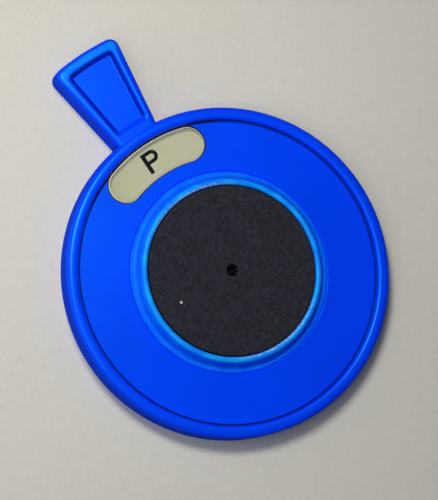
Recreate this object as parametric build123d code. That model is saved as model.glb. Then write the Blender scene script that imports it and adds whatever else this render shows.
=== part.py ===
"""Parking time disc: a shell with a grip tab turns on a hub that a foam pad fixes to the windscreen.

Frame: the origin is on the hub's axis in the rear resting plane, +Z points out of the pad's face and
+Y points along the grip tab. All sizes are millimetres.
"""
from build123d import *
from math import atan, atan2, ceil, cos, degrees, hypot, radians, sin
import os

# Shell, outside
DISC_DIAMETER = 120.0  # across the rim
RIM_BEAD_WIDTH = 4.5
RIM_BEAD_HEIGHT = 1.9  # above the plate's front face

# Grip tab
TAB_LENGTH = 34.4  # rim to far end, along the axis
TAB_WIDTH_ROOT = 17.2  # where it leaves the rim
TAB_WIDTH_END = 27.8  # at its far end, before the corners are rounded
TAB_CORNER_RADIUS = 3.4
TAB_ROOT_RADIUS = 0.8
TAB_FRAME_HEIGHT = 1.4  # above the plate's front face
TAB_FRAME_ROUND = 1.8  # round on the frame's outer top edge
TAB_FRAME_SIDE_ROOT = 3.9  # frame width beside the pocket's floor, near the rim
TAB_FRAME_SIDE_END = 4.9  # the same at the far end
TAB_FRAME_END = 5.3  # frame width across the far end
TAB_FRAME_ROOT = 3.8  # rim to the pocket's floor
TAB_POCKET_DEPTH = 1.6
TAB_POCKET_FLANK = 1.5  # run of the pocket's sloping flank

# Shell, walls
SKIRT_WALL = 2.0
SEAT_WALL = 1.0  # lip left outside the rear cover
PLATE_THICKNESS = 2.0
TAB_RIB = 1.2
COVER_THICKNESS = 1.8

# Window, a round-ended slot along an arc
WINDOW_WIDTH = 12.74
WINDOW_RIM_LAND = 0.63  # plate between the window's opening and the rim bead
WINDOW_GROOVE = 0.33  # width of the groove round the opening's front edge
WINDOW_GROOVE_DEPTH = 1.1
WINDOW_HALF_ANGLE = 16.7  # from the tab's axis to the centre of an end, degrees
LENS_GAP = 0.12  # all round, between lens and opening
LENS_FLANGE = 1.2  # width of the lens's flange outside the opening
LENS_FLANGE_THICKNESS = 0.8
LENS_EDGE = 0.35

# Pad and hub
PAD_DIAMETER = 61.4
PAD_THICKNESS = 2.85
PAD_HOLE_DIAMETER = 4.3
PAD_GAP = 0.4  # between the pad's edge and the collar
PAD_PROUD = 0.2  # pad's face above the collar's crest
FILM_THICKNESS = 0.15
COLLAR_HEIGHT = 4.4  # crest above the plate's front face
COLLAR_CREST = 2.2  # width of the rounded crest
COLLAR_FLANK = 1.9  # run of the tapered flank below the crest
FOOT_WIDTH = 1.7  # ledge at the collar's base, out to the running joint
FOOT_HEIGHT = 0.15  # ledge above the plate's front face
HUB_WALL = 2.2
HUB_FLOOR = 2.0
HUB_FLANGE_WIDTH = 2.6  # beyond the running joint, behind the plate
HUB_FLANGE_THICKNESS = 0.8
SLIP_RING_THICKNESS = 0.4
HUB_RIB = 1.4
HUB_RIB_COUNT = 6
JOINT_CHAMFER = 0.35  # on both edges of the running joint

# Fits
RUNNING_FIT = 0.05  # radial, a shaft turning in a hole
LOCATING_FIT = 0.1  # radial, pieces that are assembled and stay
AXIAL_PLAY = 0.05
MOVING_GAP = 0.3  # least space between other faces that pass each other

# Bearing at the rear
SHAFT_DIAMETER = 17.0
BUSH_WALL = 1.5
CAP_THICKNESS = 1.3
CAP_RADIAL_GAP = 0.5
CAP_HEX = 8.0  # across flats, keys the cap to the shaft
CAP_HEX_LENGTH = 4.7
WASHER_WIDTH = 3.0
WASHER_THICKNESS = 0.3
WASHER_SPACE = 0.7  # axial space that the washer fills
DISH_FLOOR = 1.3
DISH_WALL = 1.6

# Dial
DIAL_THICKNESS = 1.0
DIAL_MARGIN = 1.5  # beyond the window's outer edge
FIGURE_DEPTH = 0.3
HOUR_COUNT = 12  # the home letter and eleven hours
FIRST_HOUR = 8
LETTER_HEIGHT = 7.9
LETTER_WIDTH = 6.2
LETTER_STROKE = 1.6
DIGIT_HEIGHT = 6.0
DIGIT_WIDTH = 3.6
DIGIT_STROKE = 1.1
DIGIT_GAP = 0.8
DOT_DIAMETER = 1.6

# Click stop
CLICK_COUNT = 24
CLICK_RING_THICKNESS = 1.2
CLICK_NOTCH_RADIUS = 1.1
CLICK_NOTCH_CENTRE = 0.25  # notch centres beyond the ring's edge
SPRING_NOSE_RADIUS = 0.85
SPRING_THICKNESS = 0.4
SPRING_WIDTH = 2.3
SPRING_HALF_LENGTH = 10.0
SPRING_REACH = 3.2  # from the ring's edge out to the spring's ends
POST_RADIUS = 1.9

# Screws: shank, head and driver recess
CENTRE_SCREW = (1.5, 2.8, 2.0)  # shank radius, head radius, head height
DIAL_SCREW = (1.1, 2.0, 1.3)
COVER_SCREW = (1.1, 2.2, 1.2)
SCREW_CLEARANCE = 0.15  # radial, shank in a through hole
HEAD_CLEARANCE = 0.3  # radial, head in its recess
RECESS_ARM = 0.45  # arm width of the cross recess, as a share of the shank's diameter
DIAL_SCREW_COUNT = 3
COVER_BOSS_RADIUS = 3.4
COVER_SCREW_SINK = 0.3  # head below the cover's outer face
COVER_SCREW_INSET = 6.4  # far screws, from the tab's outline

# Snap lugs
SNAP_COUNT = 6
SNAP_RING_WALL = 0.8
SNAP_RING_HEIGHT = 1.8
SNAP_HOOK = 0.5
SNAP_HOOK_HEIGHT = 0.7
SNAP_HALF_ANGLE = 4.0
SNAP_CLEARANCE = 0.15

# Derived sizes
RIM_RADIUS = DISC_DIAMETER / 2
BEAD_CREST_RADIUS = RIM_RADIUS - RIM_BEAD_WIDTH / 2
SKIRT_INNER = RIM_RADIUS - SKIRT_WALL
WINDOW_OUTER = RIM_RADIUS - RIM_BEAD_WIDTH - WINDOW_RIM_LAND
WINDOW_MIDDLE = WINDOW_OUTER - WINDOW_WIDTH / 2
TAB_END_RADIUS = RIM_RADIUS + TAB_LENGTH
TAB_SLOPE = (TAB_WIDTH_END - TAB_WIDTH_ROOT) / 2 / TAB_LENGTH

DISH_TOP_OUTSIDE = CAP_THICKNESS + WASHER_SPACE
DISH_INSIDE = DISH_TOP_OUTSIDE + DISH_FLOOR
CLICK_RING_BOTTOM = DISH_INSIDE + MOVING_GAP
DIAL_BOTTOM = CLICK_RING_BOTTOM + CLICK_RING_THICKNESS
DIAL_TOP = DIAL_BOTTOM + DIAL_THICKNESS
FLANGE_TOP = DIAL_TOP + HUB_FLANGE_THICKNESS
PLATE_BACK = FLANGE_TOP + SLIP_RING_THICKNESS
BODY_HEIGHT = PLATE_BACK + PLATE_THICKNESS
DIAL_RADIUS = WINDOW_OUTER + DIAL_MARGIN

PAD_SEAT_RADIUS = PAD_DIAMETER / 2 + PAD_GAP
CREST_RADIUS = PAD_SEAT_RADIUS + COLLAR_CREST
FLANK_FOOT_RADIUS = CREST_RADIUS + COLLAR_FLANK
JOURNAL_RADIUS = FLANK_FOOT_RADIUS + FOOT_WIDTH - JOINT_CHAMFER
CREST_Z = BODY_HEIGHT + COLLAR_HEIGHT
FOOT_Z = BODY_HEIGHT + FOOT_HEIGHT
PAD_TOP = CREST_Z + PAD_PROUD
PAD_BOTTOM = PAD_TOP - PAD_THICKNESS
HUB_FLOOR_TOP = PAD_BOTTOM - FILM_THICKNESS
HUB_FLOOR_BOTTOM = HUB_FLOOR_TOP - HUB_FLOOR
HUB_FLANGE_RADIUS = JOURNAL_RADIUS + HUB_FLANGE_WIDTH

SHAFT_RADIUS = SHAFT_DIAMETER / 2
BUSH_BORE = SHAFT_RADIUS + RUNNING_FIT
BUSH_RADIUS = BUSH_BORE + BUSH_WALL
WASHER_INNER = BUSH_RADIUS + 0.5
WASHER_OUTER = WASHER_INNER + WASHER_WIDTH
CAP_RADIUS = WASHER_OUTER + 0.9
DISH_RADIUS = CAP_RADIUS + CAP_RADIAL_GAP
DISH_OUTER = DISH_RADIUS + DISH_WALL
DIAL_SCREW_CIRCLE = DISH_OUTER + DIAL_SCREW[1] + 1.4
CLICK_RING_RADIUS = DIAL_SCREW_CIRCLE + DIAL_SCREW[1] + 2.0
FIGURE_RADIUS = WINDOW_MIDDLE

COVER_INSET = SEAT_WALL + LOCATING_FIT
SNAP_RING_OUTER = SKIRT_INNER - 0.2
TAB_POCKET_FLOOR = BODY_HEIGHT + TAB_FRAME_HEIGHT - TAB_POCKET_DEPTH
TAB_CAVITY_TOP = TAB_POCKET_FLOOR - PLATE_THICKNESS
COVER_BOSS_TOP = COVER_THICKNESS + 1.2


def disc(radius, bottom, top):
    """Solid cylinder on the hub's axis between two heights."""
    return Pos(0, 0, bottom) * Cylinder(radius, top - bottom, align=(Align.CENTER, Align.CENTER, Align.MIN))


def ring(outer, inner, bottom, top):
    """Flat ring on the hub's axis."""
    return disc(outer, bottom, top) - disc(inner, bottom, top)


def post(x, y, radius, bottom, top):
    """Upright cylinder at a point."""
    return Pos(x, y, 0) * disc(radius, bottom, top)


def prism(sketch, bottom, top):
    """Sketch in plan, raised between two heights."""
    return Pos(0, 0, bottom) * extrude(sketch, top - bottom)


def polar(radius, angle):
    """Point at a radius and an angle in degrees, counted from +X."""
    return radius * cos(radians(angle)), radius * sin(radians(angle))


def union(pieces):
    """All pieces of a list fused in one."""
    whole = pieces[0]
    for piece in pieces[1:]:
        whole = whole + piece
    return whole


def half_width(y, inset):
    """Half the tab's width at a distance from the hub's axis, inset square to its sides."""
    side = atan(TAB_SLOPE)
    return TAB_WIDTH_ROOT / 2 + TAB_SLOPE * (y - RIM_RADIUS) - inset / cos(side)


def tab_plan(inset, start):
    """Tab's outline in plan, drawn in by an inset, from a distance near the rim to its far end."""
    beyond = TAB_END_RADIUS + 2
    near = half_width(start, inset)
    far = half_width(beyond, inset)
    sides = Polygon((-near, start), (near, start), (far, beyond), (-far, beyond), align=None)
    plan = sides & Circle(TAB_END_RADIUS - inset)
    return fillet(plan.vertices().sort_by(Axis.Y)[-2:], TAB_CORNER_RADIUS - inset)


def shell_plan(inset):
    """Outline of disc and tab together, drawn in by an inset."""
    return Circle(RIM_RADIUS - inset) + tab_plan(inset, BEAD_CREST_RADIUS - SKIRT_WALL)


def window_plan(grow):
    """Window's round-ended slot, made wider all round by grow."""
    middle = CenterArc((0, 0), WINDOW_MIDDLE, 90 - WINDOW_HALF_ANGLE, 2 * WINDOW_HALF_ANGLE)
    return SlotArc(middle, WINDOW_WIDTH + 2 * grow)


def pocket_plan():
    """Floor of the tab's front pocket."""
    near_y = RIM_RADIUS + TAB_FRAME_ROOT
    far_y = TAB_END_RADIUS
    near = half_width(near_y, TAB_FRAME_SIDE_ROOT)
    far = half_width(far_y, TAB_FRAME_SIDE_END)
    sides = Polygon((-near, near_y), (near, near_y), (far, far_y), (-far, far_y), align=None)
    return sides & Circle(TAB_END_RADIUS - TAB_FRAME_END)


def cover_screw_places():
    """Places of the cover's screws in the tab: two at its far corners and one near the rim."""
    far_y = TAB_END_RADIUS - COVER_SCREW_INSET - 2
    far_x = half_width(far_y, COVER_SCREW_INSET)
    near_y = RIM_RADIUS + COVER_BOSS_RADIUS + 4.5
    return [(-far_x, far_y), (far_x, far_y), (0, near_y)]


def cross_recess(radius, depth, top):
    """Driver recess in a screw head that faces up at a height."""
    arm = radius * 2 * RECESS_ARM
    length = radius * 2.1
    bar = Rectangle(length, arm) + Rectangle(arm, length)
    return prism(bar, top - depth, top + 0.5)


def screw(shank_radius, head_radius, head_height, tip, under_head):
    """Pan-head screw pointing down: its tip and the underside of its head are heights on the axis."""
    top = under_head + head_height
    head = disc(head_radius, under_head, top)
    head = fillet(head.edges().group_by(Axis.Z)[-1], head_height * 0.45)
    body = head + disc(shank_radius, tip, under_head)
    body = chamfer(body.edges().group_by(Axis.Z)[0], shank_radius * 0.4)
    return body - cross_recess(shank_radius, head_height * 0.6, top)


def screw_up(shank_radius, head_radius, head_height, tip, under_head):
    """The same screw pointing up, its head below."""
    upright = screw(shank_radius, head_radius, head_height, under_head - tip, 0)
    return Pos(0, 0, under_head) * Rot(180, 0, 0) * upright


def make_rim_bead():
    """Half-round bead round the disc's rim."""
    section = Ellipse(RIM_BEAD_WIDTH / 2, RIM_BEAD_HEIGHT)
    section = section - Pos(0, -RIM_BEAD_HEIGHT) * Rectangle(RIM_BEAD_WIDTH * 2, RIM_BEAD_HEIGHT * 2)
    return revolve(Plane.XZ * (Pos(BEAD_CREST_RADIUS, BODY_HEIGHT) * section), Axis.Z)


def make_tab_frame():
    """Raised frame of the tab, with its front pocket and its rounded outer edge."""
    top = BODY_HEIGHT + TAB_FRAME_HEIGHT
    block = prism(tab_plan(0, BEAD_CREST_RADIUS - SKIRT_WALL), 0, top)
    outer = [edge for edge in block.edges().group_by(Axis.Z)[-1] if edge.center().Y > RIM_RADIUS]
    block = fillet(outer, TAB_FRAME_ROUND)
    block = block - disc(BEAD_CREST_RADIUS, -1, top + 1)
    taper = degrees(atan(TAB_POCKET_FLANK / TAB_POCKET_DEPTH))
    pocket = extrude(pocket_plan(), TAB_POCKET_DEPTH + 0.5, taper=-taper)
    return block - Pos(0, 0, TAB_POCKET_FLOOR) * pocket


def make_front_housing():
    """Front plate, rim bead, skirt and tab in one moulding."""
    body = disc(RIM_RADIUS, 0, BODY_HEIGHT) + make_tab_frame()
    corners = [
        edge
        for edge in body.edges().filter_by(Axis.Z)
        if abs(hypot(edge.center().X, edge.center().Y) - RIM_RADIUS) < 0.05 and edge.center().Y > 0
    ]
    body = fillet(corners, TAB_ROOT_RADIUS) + make_rim_bead()
    body = body - disc(SKIRT_INNER, -1, PLATE_BACK)
    cavity = tab_plan(SKIRT_WALL, BEAD_CREST_RADIUS) - Circle(RIM_RADIUS)
    body = body - prism(cavity, -1, TAB_CAVITY_TOP)
    body = body + prism(Pos(0, RIM_RADIUS + TAB_LENGTH / 2) * Rectangle(TAB_WIDTH_ROOT, TAB_RIB),
                        COVER_THICKNESS + 1.0, TAB_CAVITY_TOP)
    for x, y in cover_screw_places():
        boss = post(x, y, COVER_BOSS_RADIUS, COVER_BOSS_TOP, TAB_CAVITY_TOP)
        body = body + boss
    for x, y in cover_screw_places():
        body = body - post(x, y, COVER_SCREW[0], -1, TAB_CAVITY_TOP + 0.4)
    body = body - prism(shell_plan(SEAT_WALL), -1, COVER_THICKNESS)
    bore = JOURNAL_RADIUS + RUNNING_FIT
    body = body - disc(bore, 0, BODY_HEIGHT + 1)
    body = body - Pos(0, 0, BODY_HEIGHT - JOINT_CHAMFER) * Cone(
        bore, bore + JOINT_CHAMFER * 2, JOINT_CHAMFER * 2, align=(Align.CENTER, Align.CENTER, Align.MIN))
    body = body - prism(window_plan(0), 0, BODY_HEIGHT + 1)
    body = body - prism(window_plan(WINDOW_GROOVE), BODY_HEIGHT - WINDOW_GROOVE_DEPTH, BODY_HEIGHT + 1)
    for pocket in snap_hooks(SNAP_CLEARANCE):
        body = body - pocket
    return body


def snap_hooks(clearance):
    """Hooks of the snap lugs, or with a clearance the pockets that they drop in."""
    height = COVER_THICKNESS + SNAP_RING_HEIGHT
    bottom = height - SNAP_HOOK_HEIGHT - clearance
    outer = SNAP_RING_OUTER + SNAP_HOOK + clearance
    hooks = []
    for index in range(SNAP_COUNT):
        angle = 360 / SNAP_COUNT * index
        spread = SNAP_HALF_ANGLE + degrees(clearance / outer)
        x, y = polar(outer * 1.2, spread)
        wedge = Polygon((0, 0), (x, -y), (x, y), align=None)
        plan = (Circle(outer) - Circle(SNAP_RING_OUTER - SNAP_RING_WALL / 2)) & wedge
        hooks.append(Rot(0, 0, angle) * prism(plan, bottom, height + clearance))
    return hooks


def make_lens(face, inward):
    """Clear insert: its face is at a height, and it goes inward (+1 up, -1 down) through a wall."""
    wall = COVER_THICKNESS if inward > 0 else PLATE_THICKNESS
    plug = extrude(window_plan(-LENS_GAP), wall)
    plug = chamfer(plug.edges().group_by(Axis.Z)[-1], LENS_EDGE)
    flange = extrude(window_plan(LENS_FLANGE), -LENS_FLANGE_THICKNESS)
    lens = plug + flange
    if inward > 0:
        lens = Rot(0, 180, 0) * lens
    return Pos(0, 0, face + inward * wall) * lens


def make_rear_cover():
    """Closing plate: snap ring, dished centre, rear window, screw seats and the click spring's posts."""
    body = prism(shell_plan(COVER_INSET), 0, COVER_THICKNESS)
    snap_top = COVER_THICKNESS + SNAP_RING_HEIGHT
    body = body + ring(SNAP_RING_OUTER, SNAP_RING_OUTER - SNAP_RING_WALL, COVER_THICKNESS, snap_top)
    for hook in snap_hooks(0):
        body = body + hook
    body = body + disc(DISH_OUTER, 0, DISH_INSIDE)
    body = body - disc(DISH_RADIUS, -1, DISH_TOP_OUTSIDE)
    body = body - disc(BUSH_RADIUS, 0, DISH_INSIDE + 1)
    body = body - prism(window_plan(0), -1, COVER_THICKNESS + 1)
    shank, head, height = COVER_SCREW
    for x, y in cover_screw_places():
        body = body + post(x, y, COVER_BOSS_RADIUS, 0, COVER_BOSS_TOP)
        body = body - post(x, y, shank + SCREW_CLEARANCE, -1, COVER_BOSS_TOP + 1)
        body = body - post(x, y, head + HEAD_CLEARANCE, -1, COVER_SCREW_SINK + height)
    for x, y in spring_ends():
        clip = post(x, y, POST_RADIUS, COVER_THICKNESS, spring_top())
        body = body + clip
    slot = spring_plan(SPRING_THICKNESS + 2 * LOCATING_FIT)
    return body - prism(slot, spring_bottom() - LOCATING_FIT, spring_top() + 1)


def spring_top():
    """Upper edge of the click spring, clear of the dial."""
    return DIAL_BOTTOM - MOVING_GAP


def spring_bottom():
    """Lower edge of the click spring."""
    return spring_top() - SPRING_WIDTH


def spring_ends():
    """Centres of the posts that hold the click spring, on the side away from the tab."""
    y = -(CLICK_RING_RADIUS + SPRING_REACH)
    return [(-SPRING_HALF_LENGTH, y), (SPRING_HALF_LENGTH, y)]


def spring_plan(thickness):
    """Leaf spring in plan: straight arms that lean in to a round nose."""
    nose_y = -(CLICK_RING_RADIUS + CLICK_NOTCH_CENTRE)
    shoulder = (SPRING_NOSE_RADIUS * 1.6, nose_y - SPRING_NOSE_RADIUS * 0.7)
    end = (SPRING_HALF_LENGTH + POST_RADIUS + 0.6, spring_ends()[1][1])
    right = bar(end, shoulder, thickness)
    left = mirror(right, Plane.YZ)
    # the nose is a thin half ring whose outer face has the nose's radius
    nose = Circle(SPRING_NOSE_RADIUS) - Circle(SPRING_NOSE_RADIUS - SPRING_THICKNESS)
    nose = nose - Pos(0, -SPRING_NOSE_RADIUS * 1.4) * Rectangle(4, SPRING_NOSE_RADIUS * 2)
    legs = bar((SPRING_NOSE_RADIUS - SPRING_THICKNESS / 2, -0.3), (shoulder[0], -0.7), thickness)
    nose = nose + legs + mirror(legs, Plane.YZ)
    return right + left + Pos(0, nose_y) * nose


def make_click_spring():
    """Spring-steel leaf, held at both ends on the cover, its nose in a notch of the click ring."""
    return prism(spring_plan(SPRING_THICKNESS), spring_bottom(), spring_top())


def make_click_ring():
    """Notched ring under the dial, one notch for each half hour."""
    plan = Circle(CLICK_RING_RADIUS) - Circle(SHAFT_RADIUS + LOCATING_FIT)
    notch = Pos(0, -CLICK_RING_RADIUS - CLICK_NOTCH_CENTRE) * Circle(CLICK_NOTCH_RADIUS)
    for index in range(CLICK_COUNT):
        plan = plan - Rot(0, 0, 360 / CLICK_COUNT * index) * notch
    for x, y in dial_screw_places():
        plan = plan - Pos(x, y) * Circle(DIAL_SCREW[0] + SCREW_CLEARANCE)
    return prism(plan, CLICK_RING_BOTTOM, DIAL_BOTTOM)


def dial_screw_places():
    """Places of the screws that hold the dial and the click ring to the hub."""
    return [polar(DIAL_SCREW_CIRCLE, 30 + 360 / DIAL_SCREW_COUNT * index) for index in range(DIAL_SCREW_COUNT)]


def make_hub():
    """Collar with the pad's seat, foot, flange, screw bosses and central shaft."""
    inner = JOURNAL_RADIUS - HUB_WALL
    crest_mid = PAD_SEAT_RADIUS + COLLAR_CREST / 2
    crest_side_z = CREST_Z - COLLAR_CREST * 0.42
    with BuildSketch(Plane.XZ) as section:
        with BuildLine():
            Line((0, HUB_FLOOR_BOTTOM), (0, HUB_FLOOR_TOP))
            Line((0, HUB_FLOOR_TOP), (PAD_SEAT_RADIUS, HUB_FLOOR_TOP))
            Line((PAD_SEAT_RADIUS, HUB_FLOOR_TOP), (PAD_SEAT_RADIUS, crest_side_z))
            ThreePointArc((PAD_SEAT_RADIUS, crest_side_z), (crest_mid, CREST_Z), (CREST_RADIUS, crest_side_z))
            flank = Bezier(
                (CREST_RADIUS, crest_side_z),
                (CREST_RADIUS + COLLAR_FLANK * 0.35, BODY_HEIGHT + COLLAR_HEIGHT * 0.45),
                (CREST_RADIUS + COLLAR_FLANK * 0.55, FOOT_Z + 0.1),
                (FLANK_FOOT_RADIUS, FOOT_Z),
            )
            Line(flank @ 1, (JOURNAL_RADIUS - JOINT_CHAMFER, FOOT_Z))
            Line((JOURNAL_RADIUS - JOINT_CHAMFER, FOOT_Z), (JOURNAL_RADIUS, FOOT_Z - JOINT_CHAMFER))
            Polyline(
                (JOURNAL_RADIUS, FOOT_Z - JOINT_CHAMFER),
                (JOURNAL_RADIUS, FLANGE_TOP),
                (HUB_FLANGE_RADIUS, FLANGE_TOP),
                (HUB_FLANGE_RADIUS, DIAL_TOP),
                (inner, DIAL_TOP),
                (inner, HUB_FLOOR_BOTTOM),
                (0, HUB_FLOOR_BOTTOM),
            )
        make_face()
    body = revolve(section.sketch, Axis.Z)
    body = body + disc(SHAFT_RADIUS, CAP_THICKNESS, HUB_FLOOR_BOTTOM)
    rib = Pos((SHAFT_RADIUS + inner) / 2, 0) * Rectangle(inner - SHAFT_RADIUS + 2, HUB_RIB)
    for index in range(HUB_RIB_COUNT):
        body = body + Rot(0, 0, 360 / HUB_RIB_COUNT * index) * prism(rib, DIAL_TOP + 0.6, HUB_FLOOR_BOTTOM)
    for x, y in dial_screw_places():
        body = body + post(x, y, DIAL_SCREW[0] + 1.9, DIAL_TOP, HUB_FLOOR_BOTTOM)
    for x, y in dial_screw_places():
        body = body - post(x, y, DIAL_SCREW[0], DIAL_TOP - 1, HUB_FLOOR_BOTTOM + HUB_FLOOR * 0.4)
    hex_top = CAP_THICKNESS + CAP_HEX_LENGTH + 2 * LOCATING_FIT
    socket = RegularPolygon(CAP_HEX / 2 + LOCATING_FIT, 6, major_radius=False)
    body = body - prism(socket, CAP_THICKNESS - 1, hex_top)
    shank, head, height = CENTRE_SCREW
    body = body - disc(shank + SCREW_CLEARANCE, 0, HUB_FLOOR_TOP + 1)
    return body - disc(head + HEAD_CLEARANCE, centre_screw_seat(), HUB_FLOOR_TOP + 1)


def centre_screw_seat():
    """Height of the seat under the centre screw's head, which stays just below the pad's film."""
    return HUB_FLOOR_TOP - CENTRE_SCREW[2] - HEAD_CLEARANCE


def make_centre_screw():
    """Screw that clamps the rear cap to the hub's shaft."""
    shank, head, height = CENTRE_SCREW
    return screw(shank, head, height, CAP_THICKNESS + 0.7, centre_screw_seat())


def make_dial_screws():
    """Screws up through the click ring and the dial into the hub."""
    shank, head, height = DIAL_SCREW
    tip = HUB_FLOOR_BOTTOM + HUB_FLOOR * 0.25
    return [Pos(x, y, 0) * screw_up(shank, head, height, tip, CLICK_RING_BOTTOM) for x, y in dial_screw_places()]


def make_cover_screws():
    """Screws up through the rear cover into the tab."""
    shank, head, height = COVER_SCREW
    seat = COVER_SCREW_SINK + height
    return [Pos(x, y, 0) * screw_up(shank, head, height, TAB_CAVITY_TOP, seat) for x, y in cover_screw_places()]


def make_rear_cap():
    """Cap with a hexagonal key that turns with the hub and holds the shell on."""
    cap = disc(CAP_RADIUS, 0, CAP_THICKNESS)
    cap = chamfer(cap.edges().group_by(Axis.Z)[0], 0.4)
    key = RegularPolygon(CAP_HEX / 2, 6, major_radius=False)
    cap = cap + prism(key, CAP_THICKNESS, CAP_THICKNESS + CAP_HEX_LENGTH)
    shank = CENTRE_SCREW[0]
    return cap - disc(shank, CAP_THICKNESS + 0.4, CAP_THICKNESS + CAP_HEX_LENGTH + 1)


def make_rear_bush():
    """Plain bearing for the hub's shaft, pressed in the cover's dish."""
    return ring(BUSH_RADIUS, BUSH_BORE, DISH_TOP_OUTSIDE, DISH_INSIDE)


def make_spring_washer():
    """Conical spring washer between the cap and the cover's dish."""
    low = CAP_THICKNESS
    high = DISH_TOP_OUTSIDE - AXIAL_PLAY
    points = [
        (WASHER_INNER, high - WASHER_THICKNESS),
        (WASHER_OUTER, low),
        (WASHER_OUTER, low + WASHER_THICKNESS),
        (WASHER_INNER, high),
    ]
    return revolve(Plane.XZ * Polygon(*points, align=None), Axis.Z)


def make_slip_ring():
    """Low-friction ring that the front plate runs on."""
    return ring(HUB_FLANGE_RADIUS - 0.2, JOURNAL_RADIUS + LOCATING_FIT, FLANGE_TOP, PLATE_BACK - AXIAL_PLAY)


def make_pad():
    """Foam mounting pad with a hole for the driver."""
    pad = disc(PAD_DIAMETER / 2, PAD_BOTTOM, PAD_TOP)
    pad = chamfer(pad.edges().group_by(Axis.Z)[-1], 0.2)
    return pad - disc(PAD_HOLE_DIAMETER / 2, PAD_BOTTOM - 1, PAD_TOP + 1)


def make_pad_film():
    """Double-sided adhesive film under the pad."""
    return ring(PAD_DIAMETER / 2 - 0.2, PAD_HOLE_DIAMETER / 2, HUB_FLOOR_TOP, PAD_BOTTOM)


def letter_p():
    """Home letter, upright and centred on the origin."""
    bowl_height = LETTER_HEIGHT * 0.59
    bowl_radius = bowl_height / 2
    straight = LETTER_WIDTH - bowl_radius
    bowl = Pos(straight / 2, 0) * Rectangle(straight, bowl_height) + Pos(straight, 0) * Circle(bowl_radius)
    counter_radius = bowl_radius - LETTER_STROKE * 0.85
    counter_length = straight - LETTER_STROKE
    counter = Pos(LETTER_STROKE + counter_length / 2, 0) * Rectangle(counter_length, counter_radius * 2)
    counter = counter + Pos(straight, 0) * Circle(counter_radius)
    stem = Pos(LETTER_STROKE / 2, 0) * Rectangle(LETTER_STROKE, LETTER_HEIGHT)
    letter = stem + Pos(0, (LETTER_HEIGHT - bowl_height) / 2) * (bowl - counter)
    return Pos(-LETTER_WIDTH / 2, 0) * letter


def bar(start, end, width):
    """Straight stroke between two points, with square ends."""
    run, rise = end[0] - start[0], end[1] - start[1]
    middle = Pos((start[0] + end[0]) / 2, (start[1] + end[1]) / 2)
    return middle * Rot(0, 0, degrees(atan2(rise, run))) * Rectangle(hypot(run, rise), width)


def bow(centre, radius, start, sweep, width):
    """Stroke along an arc of up to a full turn, with square ends. Angles are degrees from +X."""
    band = Circle(radius + width / 2) - Circle(radius - width / 2)
    if sweep < 360:
        reach = radius * 2 + width * 2
        steps = ceil(sweep / 60)
        corners = [polar(reach, start + sweep * index / steps) for index in range(steps + 1)]
        band = band & Polygon((0, 0), *corners, align=None)
    return Pos(*centre) * band


def digit(value):
    """One digit in plain strokes, upright and centred on the origin."""
    bend = (DIGIT_WIDTH - DIGIT_STROKE) / 2
    top = (DIGIT_HEIGHT - DIGIT_STROKE) / 2
    high = top - bend
    edge = DIGIT_HEIGHT / 2
    side = DIGIT_WIDTH / 2
    upper, lower = (0, high), (0, -high)
    bars = {
        0: [((-bend, -high), (-bend, high)), ((bend, -high), (bend, high))],
        1: [((0, -edge), (0, edge)), ((0, top), (-bend, high))],
        2: [((bend, high), (-bend, -top)), ((-side, -top), (side, -top))],
        4: [((bend / 2, -edge), (bend / 2, edge)), ((bend / 2, top), (-bend, -high / 2)),
            ((-side, -high / 2), (side, -high / 2))],
        5: [((side, top), (-side, top)), ((-bend, top), (-bend, -high / 2))],
        6: [((-bend, -high), (-bend, high))],
        7: [((-side, top), (side, top)), ((bend, top), (-bend / 2, -edge))],
        9: [((bend, high), (bend, -high))],
    }
    bows = {
        0: [(upper, 0, 180), (lower, 180, 180)],
        2: [(upper, 0, 180)],
        3: [(upper, -90, 240), (lower, -150, 240)],
        5: [(lower, -150, 300)],
        6: [(lower, 0, 360), (upper, 30, 150)],
        8: [(upper, 0, 360), (lower, 0, 360)],
        9: [(upper, 0, 360), (lower, 210, 150)],
    }
    strokes = [bar(start, end, DIGIT_STROKE) for start, end in bars.get(value, [])]
    strokes += [bow(centre, bend, start, sweep, DIGIT_STROKE) for centre, start, sweep in bows.get(value, [])]
    return union(strokes)


def hour_figure(value):
    """Hour of one or two digits, centred on the origin."""
    digits = [int(character) for character in str(value)]
    pitch = DIGIT_WIDTH + DIGIT_GAP
    start = -pitch * (len(digits) - 1) / 2
    return union([Pos(start + pitch * index, 0) * digit(value) for index, value in enumerate(digits)])


def figure_plans():
    """All figures of the dial in plan: the home letter at the tab, then hours and dots clockwise."""
    step = 360 / HOUR_COUNT
    plans = [Pos(0, FIGURE_RADIUS) * letter_p()]
    for index in range(1, HOUR_COUNT):
        figure = Pos(0, FIGURE_RADIUS) * hour_figure(FIRST_HOUR + index - 1)
        plans.append(Rot(0, 0, -step * index) * figure)
    for index in range(1, HOUR_COUNT - 1):
        dot = Pos(0, FIGURE_RADIUS) * Circle(DOT_DIAMETER / 2)
        plans.append(Rot(0, 0, -step * (index + 0.5)) * dot)
    return plans


def make_front_figures():
    """Black figures let in to the dial's front, level with it."""
    return [prism(plan, DIAL_TOP - FIGURE_DEPTH, DIAL_TOP) for plan in figure_plans()]


def make_rear_figures():
    """The same figures on the dial's back, turned so that they read right from behind."""
    figures = []
    step = 360 / HOUR_COUNT
    plans = figure_plans()
    for index, plan in enumerate(plans):
        place = index if index < HOUR_COUNT else index - HOUR_COUNT + 1.5
        level = Rot(0, 0, step * place) * plan
        turned = Rot(0, 0, -step * place) * mirror(level, Plane.YZ)
        figures.append(prism(turned, DIAL_BOTTOM, DIAL_BOTTOM + FIGURE_DEPTH))
    return figures


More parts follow.
